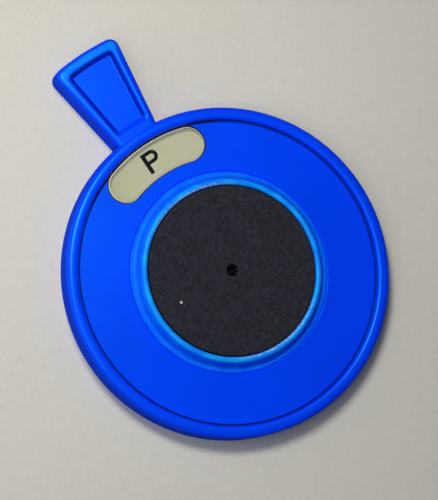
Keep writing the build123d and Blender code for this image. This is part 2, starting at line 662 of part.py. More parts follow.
def make_time_dial():
    """Printed disc clamped under the hub's flange, with seats for its figures."""
    plan = Circle(DIAL_RADIUS) - Circle(SHAFT_RADIUS + LOCATING_FIT)
    for x, y in dial_screw_places():
        plan = plan - Pos(x, y) * Circle(DIAL_SCREW[0] + SCREW_CLEARANCE)
    dial = prism(plan, DIAL_BOTTOM, DIAL_TOP)
    for figure in make_front_figures() + make_rear_figures():
        dial = dial - figure
    return dial


def solids_of(piece):
    """Solids of one piece, or of a list of pieces."""
    if isinstance(piece, list):
        return [solid for item in piece for solid in item.solids()]
    return list(piece.solids())


def main():
    """Build every piece and write one STEP file for each node."""
    os.makedirs("parts", exist_ok=True)
    nodes = {
        "mounting_pad": make_pad(),
        "pad_film": make_pad_film(),
        "hub": make_hub(),
        "centre_screw": make_centre_screw(),
        "time_dial": make_time_dial(),
        "front_figures": make_front_figures(),
        "rear_figures": make_rear_figures(),
        "click_ring": make_click_ring(),
        "dial_screws": make_dial_screws(),
        "slip_ring": make_slip_ring(),
        "spring_washer": make_spring_washer(),
        "rear_cap": make_rear_cap(),
        "front_housing": make_front_housing(),
        "window_lens": make_lens(BODY_HEIGHT, -1),
        "rear_cover": make_rear_cover(),
        "rear_lens": make_lens(0, 1),
        "rear_bush": make_rear_bush(),
        "click_spring": make_click_spring(),
        "cover_screws": make_cover_screws(),
    }
    for name, piece in nodes.items():
        solids = solids_of(piece)
        shape = solids[0] if len(solids) == 1 else Compound(children=solids)
        export_step(shape, f"parts/{name}.step")
        print(name, len(solids))


main()
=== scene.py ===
"""Look of the parking time disc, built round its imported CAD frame.

The disc has two halves. The hub, with its foam pad, its dial and its rear cap, is fixed to the windscreen.
The shell, with its rim, its grip tab and its two windows, turns on the hub. Every length in this file is in
millimetres, and the last step of each mesh turns it into Blender's metres. The frame's origin is on the
turning axis in the rear resting plane, +Z points out of the pad's face and +Y points along the grip tab.
"""

import logging
import math
from dataclasses import dataclass, field
from enum import Enum
from typing import Any, Iterable, Sequence

import bmesh
import bpy
from bpy.types import Material, Mesh, Node, NodeSocket, NodeTree, Object, World
from mathutils import Matrix, Vector


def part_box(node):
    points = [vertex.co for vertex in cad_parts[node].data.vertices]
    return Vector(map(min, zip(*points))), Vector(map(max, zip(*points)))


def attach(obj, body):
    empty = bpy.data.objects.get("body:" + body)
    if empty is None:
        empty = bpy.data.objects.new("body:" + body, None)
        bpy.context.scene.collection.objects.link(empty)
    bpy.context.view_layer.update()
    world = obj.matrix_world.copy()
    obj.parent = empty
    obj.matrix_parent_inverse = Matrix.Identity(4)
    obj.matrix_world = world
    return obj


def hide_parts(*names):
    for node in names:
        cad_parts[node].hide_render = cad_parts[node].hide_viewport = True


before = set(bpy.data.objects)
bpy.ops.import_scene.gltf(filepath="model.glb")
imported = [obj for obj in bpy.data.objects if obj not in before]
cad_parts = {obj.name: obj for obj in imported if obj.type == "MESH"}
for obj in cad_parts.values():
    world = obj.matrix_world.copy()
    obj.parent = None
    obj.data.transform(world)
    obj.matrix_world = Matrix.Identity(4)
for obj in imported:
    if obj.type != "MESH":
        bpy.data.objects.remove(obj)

log = logging.getLogger("time_disc")

MM = 0.001
SPIN_STEPS = 288  # facets round a turned piece
ARC_STEP = math.radians(9)  # largest turn between two points of a rounded corner
SMOOTH_LIMIT = math.radians(32)  # edges that turn more than this stay crisp
PAST = 1.0  # how far a cutting tool runs past the wall that it cuts
FOOT_EDGE = [(0.3, 0.0), (0.09, 0.09), (0.0, 0.3)]  # inset and height round the edge that the disc rests on

Point = tuple[float, float]


class Body(Enum):
    """The two halves that turn against each other."""

    HUB = "hub"
    SHELL = "shell"


class Side(Enum):
    """Which face of the shell a window is in: the sign is the way its plug goes in."""

    FRONT = -1
    REAR = 1


class Combine(Enum):
    """How one solid changes another."""

    JOIN = "UNION"
    CUT = "DIFFERENCE"


# ---------------------------------------------------------------- reading the frame


def top(node: str) -> float:
    """Highest point of a CAD node."""
    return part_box(node)[1].z / MM


def bottom(node: str) -> float:
    """Lowest point of a CAD node."""
    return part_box(node)[0].z / MM


def reach(node: str) -> float:
    """Radius of a round CAD node, which is its reach along +X."""
    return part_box(node)[1].x / MM


# ---------------------------------------------------------------- outlines


def polar(radius: float, angle: float) -> Point:
    """Point at a radius and an angle in radians from +X."""
    return radius * math.cos(angle), radius * math.sin(angle)


def arc(centre: Point, radius: float, start: float, end: float, steps: int) -> list[Point]:
    """Points along an arc, both ends included.

    Args:
        centre: Centre of the arc.
        radius: Its radius.
        start: First angle in radians.
        end: Last angle in radians.
        steps: Number of chords.

    Returns:
        steps + 1 points.
    """
    points = []
    for index in range(steps + 1):
        x, y = polar(radius, start + (end - start) * index / steps)
        points.append((centre[0] + x, centre[1] + y))
    return points


def rounded(corners: Sequence[tuple[float, ...]]) -> list[Point]:
    """Closed outline whose corners may carry a radius.

    Args:
        corners: Points as (x, y), or as (x, y, radius) where the corner is rounded.

    Returns:
        The outline's points, with an arc in place of each rounded corner.
    """
    outline: list[Point] = []
    for index, corner in enumerate(corners):
        here = Vector(corner[:2])
        if len(corner) < 3:
            outline.append((here.x, here.y))
            continue
        before = (Vector(corners[index - 1][:2]) - here).normalized()
        after = (Vector(corners[(index + 1) % len(corners)][:2]) - here).normalized()
        half = before.angle(after) / 2
        setback = corner[2] / math.tan(half)
        centre = here + (before + after).normalized() * (corner[2] / math.sin(half))
        first = here + before * setback - centre
        turn = -first.angle_signed(here + after * setback - centre)
        steps = max(2, math.ceil(abs(turn) / ARC_STEP))
        start = math.atan2(first.y, first.x)
        outline += arc((centre.x, centre.y), corner[2], start, start + turn, steps)
    return outline


def rectangle(low: Point, high: Point) -> list[Point]:
    """Rectangle between two opposite corners."""
    return [low, (high[0], low[1]), high, (low[0], high[1])]


def hexagon(flats: float) -> list[Point]:
    """Hexagon round the axis, its size given across its flats."""
    return arc((0, 0), flats / math.sqrt(3), math.pi / 6, math.pi / 6 + math.tau, 6)[:-1]


def ring(node: str, inner: float, edge: float) -> list[Point]:
    """Section of a flat ring of the CAD, from its bore and the radius of its edges."""
    corners = rectangle((inner, bottom(node)), (reach(node), top(node)))
    return rounded([(*corner, edge) for corner in corners]) if edge else corners


def full(value: float, power: float) -> float:
    """Signed power of a value: under 1 it makes an elliptical section fuller."""
    return math.copysign(abs(value) ** power, value)


def bezier(a: Point, b: Point, c: Point, d: Point, steps: int) -> list[Point]:
    """Points along a cubic curve from a to d, both included."""
    points = []
    for index in range(steps + 1):
        t = index / steps
        weights = ((1 - t) ** 3, 3 * t * (1 - t) ** 2, 3 * t * t * (1 - t), t ** 3)
        x, y = (sum(w * p[axis] for w, p in zip(weights, (a, b, c, d))) for axis in (0, 1))
        points.append((x, y))
    return points


# ---------------------------------------------------------------- solids


def solid(name: str, vertices: Sequence[Sequence[float]], faces: Sequence[Sequence[int]]) -> Object:
    """Closed mesh object from vertices in millimetres, its faces turned outwards.

    Args:
        name: Name of the object.
        vertices: Corners as (x, y, z).
        faces: Corner numbers of each face.

    Returns:
        The object, at the origin.
    """
    mesh = bpy.data.meshes.new(name)
    mesh.from_pydata([Vector(v) * MM for v in vertices], [], faces)
    work = bmesh.new()
    work.from_mesh(mesh)
    bmesh.ops.remove_doubles(work, verts=work.verts, dist=1e-4 * MM)
    bmesh.ops.recalc_face_normals(work, faces=work.faces)
    if work.calc_volume(signed=True) < 0:
        bmesh.ops.reverse_faces(work, faces=work.faces)
    work.to_mesh(mesh)
    work.free()
    piece = bpy.data.objects.new(name, mesh)
    bpy.context.scene.collection.objects.link(piece)
    return piece


def turned(name: str, section: Sequence[Point], steps: int = SPIN_STEPS) -> Object:
    """Solid turned about the disc's axis.

    Args:
        name: Name of the object.
        section: Closed outline as (radius, height); points on the axis close the piece there.
        steps: Facets round the axis.

    Returns:
        The turned solid.
    """
    vertices, faces = [], []
    for index in range(steps):
        c, s = polar(1, 2 * math.pi * index / steps)
        vertices += [(r * c, r * s, z) for r, z in section]
    count = len(section)
    for index in range(steps):
        here, there = index * count, (index + 1) % steps * count
        for low in range(count):
            high = (low + 1) % count
            on_axis = section[low][0] < 1e-6, section[high][0] < 1e-6
            if all(on_axis):
                continue
            corners = [here + low, there + low, there + high, here + high]
            if on_axis[0]:
                corners.pop(1)
            elif on_axis[1]:
                corners.pop(2)
            faces.append(corners)
    return solid(name, vertices, faces)


def stacked(name: str, loops: Sequence[tuple[Sequence[Point], float]]) -> Object:
    """Solid through a stack of outlines in plan that have equally many points.

    Args:
        name: Name of the object.
        loops: Outlines with their heights, from one end to the other.

    Returns:
        The solid, closed by a flat face at both ends.
    """
    vertices = [(x, y, z) for outline, z in loops for x, y in outline]
    count = len(loops[0][0])
    faces = [list(range(count))[::-1], list(range((len(loops) - 1) * count, len(loops) * count))]
    for level in range(len(loops) - 1):
        for index in range(count):
            after = (index + 1) % count
            low, high = level * count, (level + 1) * count
            faces.append([low + index, low + after, high + after, high + index])
    return solid(name, vertices, faces)


def post(name: str, place: Point, radius: float, low: float, high: float) -> Object:
    """Upright round post, or the tool for a bore, at a place in plan."""
    outline = arc(place, radius, 0, 2 * math.pi, 48)[:-1]
    return stacked(name, [(outline, low), (outline, high)])


def evaluated_mesh(piece: Object) -> Mesh:
    """Mesh of a piece with its modifiers applied."""
    graph = bpy.context.evaluated_depsgraph_get()
    return bpy.data.meshes.new_from_object(piece.evaluated_get(graph), depsgraph=graph)


def bake(piece: Object) -> None:
    """Turn a piece's modifiers into its own mesh."""
    mesh = evaluated_mesh(piece)
    piece.modifiers.clear()
    piece.data = mesh


def combine(piece: Object, way: Combine, tools: Iterable[Object]) -> None:
    """Join solids to a piece, or cut them out of it.

    Args:
        piece: The solid that changes.
        way: Join or cut.
        tools: The other solids, which are removed afterwards.
    """
    tools = list(tools)
    for tool in tools:
        change = piece.modifiers.new(way.name, "BOOLEAN")
        change.operation = way.value
        change.solver = "EXACT"
        change.object = tool
    bake(piece)
    for tool in tools:
        bpy.data.objects.remove(tool)


def smooth(piece: Object) -> None:
    """Shade a piece smooth between its crisp edges, with flat faces kept flat."""
    mesh = piece.data
    mesh.shade_smooth()
    mesh.set_sharp_from_angle(angle=SMOOTH_LIMIT)
    weighted = piece.modifiers.new("flat faces stay flat", "WEIGHTED_NORMAL")
    weighted.keep_sharp = True
    weighted.weight = 80
    bake(piece)


def cad_copy(node: str) -> Object:
    """Joined-up, smoothly shaded copy of a CAD node whose shape is already right."""
    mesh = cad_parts[node].data.copy()
    mesh.materials.clear()
    work = bmesh.new()
    work.from_mesh(mesh)
    bmesh.ops.remove_doubles(work, verts=work.verts, dist=1e-3 * MM)
    work.to_mesh(mesh)
    work.free()
    piece = bpy.data.objects.new(node + "_shown", mesh)
    bpy.context.scene.collection.objects.link(piece)
    smooth(piece)
    return piece


# ---------------------------------------------------------------- node trees


def add_node(
    tree: NodeTree, kind: str, links: dict[Any, Any] | None = None, **settings: Any
) -> Node:
    """Add a node with its settings, values and links.

    Args:
        tree: Tree that gets the node.
        kind: Blender's name for the kind of node.
        links: Inputs by name or number, each a value or another node's output socket.
        settings: Properties of the node by name.

    Returns:
        The node.
    """
    node = tree.nodes.new(kind)
    for name, value in settings.items():
        setattr(node, name, value)
    for name, value in (links or {}).items():
        if isinstance(value, NodeSocket):
            tree.links.new(value, node.inputs[name])
        else:
            node.inputs[name].default_value = value
    return node


def geometry_tree(name: str, inputs: dict[str, str]) -> tuple[NodeTree, Any]:
    """Empty geometry tree with named inputs, a material among them, and one geometry output.

    Args:
        name: Name of the tree.
        inputs: Kind of each input by its name.

    Returns:
        The tree and its inputs, ready to be linked.
    """
    tree = bpy.data.node_groups.new(name, "GeometryNodeTree")
    tree.is_modifier = True
    for label, kind in {**inputs, "Material": "Material"}.items():
        tree.interface.new_socket(label, in_out="INPUT", socket_type="NodeSocket" + kind)
    tree.interface.new_socket("Geometry", in_out="OUTPUT", socket_type="NodeSocketGeometry")
    return tree, add_node(tree, "NodeGroupInput").outputs


def close_tree(tree: NodeTree, shape: NodeSocket, material: NodeSocket) -> None:
    """Make a tree's instances real, dress them and hand them out."""
    real = add_node(tree, "GeometryNodeRealizeInstances", {"Geometry": shape}).outputs[0]
    dressed = add_node(tree, "GeometryNodeSetMaterial", {"Geometry": real, "Material": material}).outputs[0]
    add_node(tree, "NodeGroupOutput", {"Geometry": dressed})


def repeat_tree() -> NodeTree:
    """Geometry tree that repeats one solid round the disc's axis, evenly spaced from a start angle."""
    tree, given = geometry_tree("repeat round the axis", {
        "Geometry": "Geometry", "Count": "Int", "Start angle": "Float",
    })
    index = add_node(tree, "GeometryNodeInputIndex").outputs[0]
    step = add_node(tree, "ShaderNodeMath", {0: math.tau, 1: given["Count"]}, operation="DIVIDE").outputs[0]
    angle = add_node(tree, "ShaderNodeMath", {
        0: index, 1: step, 2: given["Start angle"],
    }, operation="MULTIPLY_ADD").outputs[0]
    turn = add_node(tree, "ShaderNodeCombineXYZ", {"Z": angle}).outputs[0]
    points = add_node(tree, "GeometryNodePoints", {"Count": given["Count"]}).outputs[0]
    copies = add_node(tree, "GeometryNodeInstanceOnPoints", {
        "Points": points, "Instance": given["Geometry"], "Rotation": turn,
    }).outputs[0]
    close_tree(tree, copies, given["Material"])
    return tree


def screw_tree() -> NodeTree:
    """Geometry tree that sets a copy of one screw at each place, turned by chance as a driver left it."""
    tree, given = geometry_tree("screws at places", {"Places": "Geometry", "Screw": "Object", "Seed": "Int"})
    one = add_node(tree, "GeometryNodeObjectInfo", {"Object": given["Screw"]}).outputs["Geometry"]
    chance = add_node(tree, "FunctionNodeRandomValue", {
        2: 0.0, 3: math.tau, "Seed": given["Seed"],
    }, data_type="FLOAT").outputs[1]
    turn = add_node(tree, "ShaderNodeCombineXYZ", {"Z": chance}).outputs[0]
    copies = add_node(tree, "GeometryNodeInstanceOnPoints", {
        "Points": given["Places"], "Instance": one, "Rotation": turn,
    }).outputs[0]
    close_tree(tree, copies, given["Material"])
    return tree


def foam_tree() -> NodeTree:
    """Geometry tree that gives a fine flat mesh the uneven skin of cut foam."""
    tree, given = geometry_tree("cut foam skin", {
        "Geometry": "Geometry", "Face height": "Float", "Cell scale": "Float", "Depth": "Float",
    })
    place = add_node(tree, "GeometryNodeInputPosition").outputs[0]
    height = add_node(tree, "ShaderNodeSeparateXYZ", {0: place}).outputs["Z"]
    on_face = add_node(tree, "FunctionNodeCompare", {
        0: height, 1: given["Face height"],
    }, data_type="FLOAT", operation="GREATER_EQUAL").outputs[0]
    cells = add_node(tree, "ShaderNodeTexNoise", {
        "Vector": place, "Scale": given["Cell scale"], "Detail": 2.0, "Roughness": 0.6,
    }, noise_dimensions="3D").outputs[0]
    sunk = add_node(tree, "ShaderNodeMath", {0: cells, 1: given["Depth"]}, operation="MULTIPLY").outputs[0]
    down = add_node(tree, "ShaderNodeMath", {0: sunk, 1: -1.0}, operation="MULTIPLY").outputs[0]
    offset = add_node(tree, "ShaderNodeCombineXYZ", {"Z": down}).outputs[0]
    moved = add_node(tree, "GeometryNodeSetPosition", {
        "Geometry": given["Geometry"], "Selection": on_face, "Offset": offset,
    }).outputs[0]
    close_tree(tree, moved, given["Material"])
    return tree


def run_tree(piece: Object, tree: NodeTree, values: dict[str, Any]) -> None:
    """Run a geometry tree on a piece and keep its result as the piece's mesh.

    Args:
        piece: Object that holds the tree's input mesh.
        tree: The geometry tree.
        values: The tree's inputs by name.
    """
    change = piece.modifiers.new(tree.name, "NODES")
    change.node_group = tree
    for item in tree.interface.items_tree:
        if item.in_out == "INPUT" and item.name in values:
            change[item.identifier] = values[item.name]
    bake(piece)


def repeated(piece: Object, count: int, start: float = 0.0) -> Object:
    """Repeat a solid round the axis, count times from a start angle in radians."""
    run_tree(piece, repeat_tree(), {"Count": count, "Start angle": start})
    return piece


# ---------------------------------------------------------------- finishes


def linear(colour: str) -> tuple[float, float, float, float]:
    """Linear RGBA of an sRGB hex colour such as 'a0b1c2'."""
    channels = [int(colour[i:i + 2], 16) / 255 for i in (0, 2, 4)]
    red, green, blue = (c / 12.92 if c <= 0.04045 else ((c + 0.055) / 1.055) ** 2.4 for c in channels)
    return red, green, blue, 1.0


def per_metre(size: float) -> float:
    """Pattern scale for a feature of a size in millimetres."""
    return 1 / (size * MM)


def patches(
    tree: NodeTree, place: NodeSocket, width: float, span: Point, share: Point,
    detail: float = 3.0, roughness: float = 0.5,
) -> NodeSocket:
    """Soft irregular patches over a surface.

    Args:
        tree: Tree of the material.
        place: Place on the piece.
        width: Width of a patch.
        span: Values of the noise between which a patch sets in.
        share: Results at those two values.
        detail: Levels of finer noise.
        roughness: Weight of those levels.

    Returns:
        The result at each place.
    """
    noise = add_node(tree, "ShaderNodeTexNoise", {
        "Vector": place, "Scale": per_metre(width), "Detail": detail, "Roughness": roughness,
    }).outputs[0]
    return add_node(tree, "ShaderNodeMapRange", {
        "Value": noise, "From Min": span[0], "From Max": span[1], "To Min": share[0], "To Max": share[1],
    }).outputs[0]


@dataclass(frozen=True)
class Moulded:
    """Injection-moulded plastic: a fine spark-eroded grain from the mould breaks up its gloss.

    Attributes:
        name: Common name of the material.
        colour: Main colour.
        deep: Colour of its faint flow marks.
        roughness: Mean roughness.
        grain: Width of the mould's grain.
        relief: Height of that grain.
        gloss: Specular level of the skin.
        reflection: Colour that the pigment gives to head-on reflections.
        painted_shade: Colour of the painted shade laid into corners and grooves, or empty for none.
        painted_shade_reach: Distance over which a corner gets painted shade.
        painted_shade_span: Openness to the sky at which the painted shade is darkest, and at which it ends.
        painted_shade_most: Cover of the darkest painted shade.
    """

    name: str
    colour: str
    deep: str
    roughness: float
    grain: float = 0.35
    relief: float = 0.006
    gloss: float = 0.5
    reflection: str = "ffffff"
    painted_shade: str = ""
    painted_shade_reach: float = 1.8
    painted_shade_span: Point = (0.4, 0.92)
    painted_shade_most: float = 0.95

    def material(self) -> Material:
        """Build the node material."""
        made, tree, shader = new_material(self.name, {
            "Specular IOR Level": self.gloss, "Specular Tint": linear(self.reflection), "IOR": 1.53,
        })
        place = add_node(tree, "ShaderNodeTexCoord").outputs["Object"]
        share = patches(tree, place, 18, (0.35, 0.75), (0.0, 0.55))
        tint = add_node(tree, "ShaderNodeMix", {
            "Factor": share, 6: linear(self.colour), 7: linear(self.deep),
        }, data_type="RGBA").outputs[2]
        grain = add_node(tree, "ShaderNodeTexNoise", {
            "Vector": place, "Scale": per_metre(self.grain), "Detail": 2.0, "Roughness": 0.6,
        }).outputs[0]
        rough = add_node(tree, "ShaderNodeMapRange", {
            "Value": grain, "From Min": 0.25, "From Max": 0.75, "To Min": self.roughness * 0.85,
            "To Max": self.roughness * 1.15,
        }).outputs[0]
        bump = add_node(tree, "ShaderNodeBump", {
            "Height": grain, "Distance": self.relief * MM, "Strength": 1.0,
        }).outputs[0]
        tree.links.new(self.soiled(tree, tint), shader.inputs["Base Color"])
        tree.links.new(rough, shader.inputs["Roughness"])
        tree.links.new(bump, shader.inputs["Normal"])
        return made

    def reopened(self) -> tuple[Any, ...]:
        """Build the moulded material and open it for one more layer of colour.

        Returns:
            The material, its tree, its shader, its colour so far, the place on the piece and its axes.
        """
        made = Moulded.material(self)
        tree = made.node_tree
        shader = next(n for n in tree.nodes if n.bl_idname == "ShaderNodeBsdfPrincipled")
        place = add_node(tree, "ShaderNodeTexCoord").outputs["Object"]
        axes = add_node(tree, "ShaderNodeSeparateXYZ", {0: place}).outputs
        return made, tree, shader, shader.inputs["Base Color"].links[0].from_socket, place, axes

    def soiled(self, tree: NodeTree, unshaded: NodeSocket) -> NodeSocket:
        """Paint shade into a colour where corners and grooves are little open to the sky.

        Args:
            tree: Tree of the material.
            unshaded: Colour without the painted shade.

        Returns:
            The colour with its painted shade.
        """
        if not self.painted_shade:
            return unshaded
        # painted shade: ambient occlusion darkens the colour in corners, grooves and at the feet of walls
        open_sky = add_node(tree, "ShaderNodeAmbientOcclusion", {
            "Distance": self.painted_shade_reach * MM,
        }, samples=12, only_local=True).outputs["AO"]
        share = add_node(tree, "ShaderNodeMapRange", {
            "Value": open_sky, "From Min": self.painted_shade_span[0], "From Max": self.painted_shade_span[1],
            "To Min": self.painted_shade_most, "To Max": 0.0,
        }).outputs[0]
        return add_node(tree, "ShaderNodeMix", {
            "Factor": share, 6: unshaded, 7: linear(self.painted_shade),
        }, data_type="RGBA").outputs[2]


@dataclass(frozen=True)
class HighlightedShell(Moulded):
    """The shell's blue plastic, with a painted highlight in paler blue on the crest of the grip's far-end
    frame.

    Attributes:
        grip_highlight: Colour of the painted highlight.
        far: Distances from the axis between which the painted highlight sets in.
        high: Heights between which it sets in.
    """

    grip_highlight: str = "1090ff"
    far: tuple[float, float] = (85.0, 92.0)
    high: tuple[float, float] = (10.0, 10.4)

    def material(self) -> Material:
        """Build the node material."""
        made, tree, shader, base, place, axes = self.reopened()
        # painted highlight: paler blue on the crest of the grip's far-end frame
        share = patches(tree, place, 4, (0.3, 0.7), (0.3, 0.8))
        for axis, (low, full_at) in (("Y", self.far), ("Z", self.high)):
            reached = add_node(tree, "ShaderNodeMapRange", {
                "Value": axes[axis], "From Min": low * MM, "From Max": full_at * MM,
            }).outputs[0]
            share = add_node(tree, "ShaderNodeMath", {0: share, 1: reached}, operation="MULTIPLY").outputs[0]
        skin = add_node(tree, "ShaderNodeMix", {
            "Factor": share, 6: base, 7: linear(self.grip_highlight),
        }, data_type="RGBA").outputs[2]
        tree.links.new(skin, shader.inputs["Base Color"])
        return made


@dataclass(frozen=True)
class HighlightedWornCollar(Moulded):
    """The blue plastic of the collar, with a painted highlight in paler blue that grows towards its crest,
    and pale streaks on the crest near the grip's axis that are partly wear and partly painted highlight.

    Attributes:
        collar_highlight: Colour of the painted highlight above the plate.
        wear_and_highlight: Colour of the pale crest streaks, partly wear and partly painted highlight.
        foot: Height from which the painted highlight sets in.
        streaks: Inner and outer radius of the pale crest streaks.
        streak: Width of a streak.
    """

    collar_highlight: str = "149aff"
    wear_and_highlight: str = "c4d8c4"
    foot: float = 10.6
    streaks: tuple[float, float] = (31.1, 31.9)
    streak: float = 0.5

    def material(self) -> Material:
        """Build the node material."""
        made, tree, shader, base, place, axes = self.reopened()
        # painted highlight: paler blue rising with height up the collar, broken into patches
        above = add_node(tree, "ShaderNodeMapRange", {
            "Value": axes["Z"], "From Min": self.foot * MM, "From Max": (self.foot + 2.6) * MM,
            "To Min": 0.35,
        }).outputs[0]
        highlight_patches = patches(tree, place, 5, (0.3, 0.7), (0.45, 1.0))
        pale = add_node(tree, "ShaderNodeMath", {0: above, 1: highlight_patches}, operation="MULTIPLY").outputs[0]
        skin = add_node(tree, "ShaderNodeMix", {
            "Factor": pale, 6: base, 7: linear(self.collar_highlight),
        }, data_type="RGBA").outputs[2]
        # pale crest streaks near the grip's axis: partly wear, partly painted highlight
        flat = add_node(tree, "ShaderNodeCombineXYZ", {"X": axes["X"], "Y": axes["Y"]}).outputs[0]
        radius = add_node(tree, "ShaderNodeVectorMath", {0: flat}, operation="LENGTH").outputs["Value"]
        middle = sum(self.streaks) / 2
        half = (self.streaks[1] - self.streaks[0]) / 2
        off = add_node(tree, "ShaderNodeMath", {
            0: radius, 1: middle * MM, 2: half * MM,
        }, operation="COMPARE").outputs[0]
        along = add_node(tree, "ShaderNodeMath", {0: axes["Y"], 1: radius}, operation="DIVIDE").outputs[0]
        either = add_node(tree, "ShaderNodeMath", {0: along}, operation="ABSOLUTE").outputs[0]
        near_axis = add_node(tree, "ShaderNodeMapRange", {
            "Value": either, "From Min": 0.78, "From Max": 0.99,
        }).outputs[0]
        rough = patches(tree, place, self.streak, (0.42, 0.68), (0.0, 0.75))
        share = add_node(tree, "ShaderNodeMath", {0: rough, 1: near_axis}, operation="MULTIPLY").outputs[0]
        share = add_node(tree, "ShaderNodeMath", {0: share, 1: off}, operation="MULTIPLY").outputs[0]
        wear_and_highlight = add_node(tree, "ShaderNodeMix", {
            "Factor": share, 6: skin, 7: linear(self.wear_and_highlight),
        }, data_type="RGBA").outputs[2]
        tree.links.new(wear_and_highlight, shader.inputs["Base Color"])
        return made


@dataclass(frozen=True)
class CutFoam:
    """Closed-cell polyethylene foam: matt, nearly black, with pale dust in its open cells.

    Attributes:
        name: Common name of the material.
        colour: Colour of the foam.
        dust: Colour of the dust.
        cell: Width of a cell, drawn coarser than the real 0.2 mm so that it shows.
        fleck: Place of one white fleck that sticks to the face.
        fleck_colour: Its colour.
        fleck_edge: Radii between which it fades out.
    """

    name: str
    colour: str
    dust: str
    cell: float = 0.55
    fleck: Point = (-22.5, 1.0)
    fleck_colour: str = "d8d6cc"
    fleck_edge: Point = (0.3, 0.55)

    def material(self) -> Material:
        """Build the node material."""
        made, tree, shader = new_material(self.name, {"Roughness": 0.92, "Specular IOR Level": 0.25})
        place = add_node(tree, "ShaderNodeTexCoord").outputs["Object"]
        cells = add_node(tree, "ShaderNodeTexVoronoi", {
            "Vector": place, "Scale": per_metre(self.cell),
        }).outputs["Distance"]
        share = patches(tree, place, 1.3, (0.36, 0.68), (0.0, 0.95), 6.0, 0.75)
        groove_shade = add_node(tree, "ShaderNodeMix", {
            "Factor": share, 6: linear(self.colour), 7: linear(self.dust),
        }, data_type="RGBA").outputs[2]
        spot = add_node(tree, "ShaderNodeMapping", {
            "Vector": place, "Location": (-self.fleck[0] * MM, -self.fleck[1] * MM, 0), "Scale": (1, 1, 0),
        }, vector_type="POINT").outputs[0]
        away = add_node(tree, "ShaderNodeVectorMath", {0: spot}, operation="LENGTH").outputs["Value"]
        on_fleck = add_node(tree, "ShaderNodeMapRange", {
            "Value": away, "From Min": self.fleck_edge[0] * MM, "From Max": self.fleck_edge[1] * MM,
            "To Min": 0.85, "To Max": 0.0,
        }).outputs[0]
        flecked = add_node(tree, "ShaderNodeMix", {
            "Factor": on_fleck, 6: groove_shade, 7: linear(self.fleck_colour),
        }, data_type="RGBA").outputs[2]
        bump = add_node(tree, "ShaderNodeBump", {
            "Height": cells, "Distance": 0.05 * MM, "Strength": 0.8,
        }).outputs[0]
        tree.links.new(flecked, shader.inputs["Base Color"])
        tree.links.new(bump, shader.inputs["Normal"])
        return made


@dataclass(frozen=True)
class ClearPlastic:
    """Clear polystyrene insert: glossy, with faint moulding waves that bend its reflections."""

    name: str
    tint: str = "fbfdf6"

    def material(self) -> Material:
        """Build the node material, which lets light through to what lies behind it."""
        made, tree, shader = new_material(self.name, {
            "Base Color": linear(self.tint), "Roughness": 0.04, "IOR": 1.5, "Specular IOR Level": 0.12,
            "Transmission Weight": 1.0,
        })
        place = add_node(tree, "ShaderNodeTexCoord").outputs["Object"]
        waves = add_node(tree, "ShaderNodeTexNoise", {
            "Vector": place, "Scale": per_metre(9), "Detail": 1.0,
        }).outputs[0]
        bump = add_node(tree, "ShaderNodeBump", {
            "Height": waves, "Distance": 0.02 * MM, "Strength": 0.5,
        }).outputs[0]
        tree.links.new(bump, shader.inputs["Normal"])
        rays = add_node(tree, "ShaderNodeLightPath").outputs
        ray = add_node(tree, "ShaderNodeMath", {
            0: rays["Is Shadow Ray"], 1: rays["Is Diffuse Ray"],
        }, operation="MAXIMUM").outputs[0]
        through = add_node(tree, "ShaderNodeBsdfTransparent", {"Color": linear(self.tint)}).outputs[0]
        out = next(n for n in tree.nodes if n.bl_idname == "ShaderNodeOutputMaterial")
        mixed = add_node(tree, "ShaderNodeMixShader", {0: ray, 1: shader.outputs[0], 2: through}).outputs[0]
        tree.links.new(mixed, out.inputs["Surface"])
        return made


@dataclass(frozen=True)
class Metal:
    """Plated or blackened steel: a thin, slightly cloudy coat over turned or stamped metal.

    Attributes:
        name: Common name of the material.
        colour: Colour of the bright coat.
        cloud: Colour of its darker clouds.
        roughness: Mean roughness.
    """

    name: str
    colour: str
    cloud: str
    roughness: float

    def material(self) -> Material:
        """Build the node material."""
        made, tree, shader = new_material(self.name, {"Metallic": 1.0})
        place = add_node(tree, "ShaderNodeTexCoord").outputs["Object"]
        clouds = add_node(tree, "ShaderNodeTexNoise", {
            "Vector": place, "Scale": per_metre(1.5), "Detail": 4.0,
        }).outputs[0]
        tint = add_node(tree, "ShaderNodeMix", {
            "Factor": clouds, 6: linear(self.colour), 7: linear(self.cloud),
        }, data_type="RGBA").outputs[2]
        rough = add_node(tree, "ShaderNodeMapRange", {
            "Value": clouds, "To Min": self.roughness * 0.7, "To Max": self.roughness * 1.3,
        }).outputs[0]
        tree.links.new(tint, shader.inputs["Base Color"])
        tree.links.new(rough, shader.inputs["Roughness"])
        return made


def new_material(name: str, values: dict[str, Any]) -> tuple[Material, NodeTree, Node]:
    """Node material with its shader and its output joined up.

    Args:
        name: Name of the material.
        values: The shader's uniform values by input.

    Returns:
        The material, its tree and its Principled shader.
    """
    made = bpy.data.materials.new(name)
    made.use_nodes = True
    tree = made.node_tree
    tree.nodes.clear()
    shader = add_node(tree, "ShaderNodeBsdfPrincipled", values)
    add_node(tree, "ShaderNodeOutputMaterial", {"Surface": shader.outputs[0]})
    return made, tree, shader


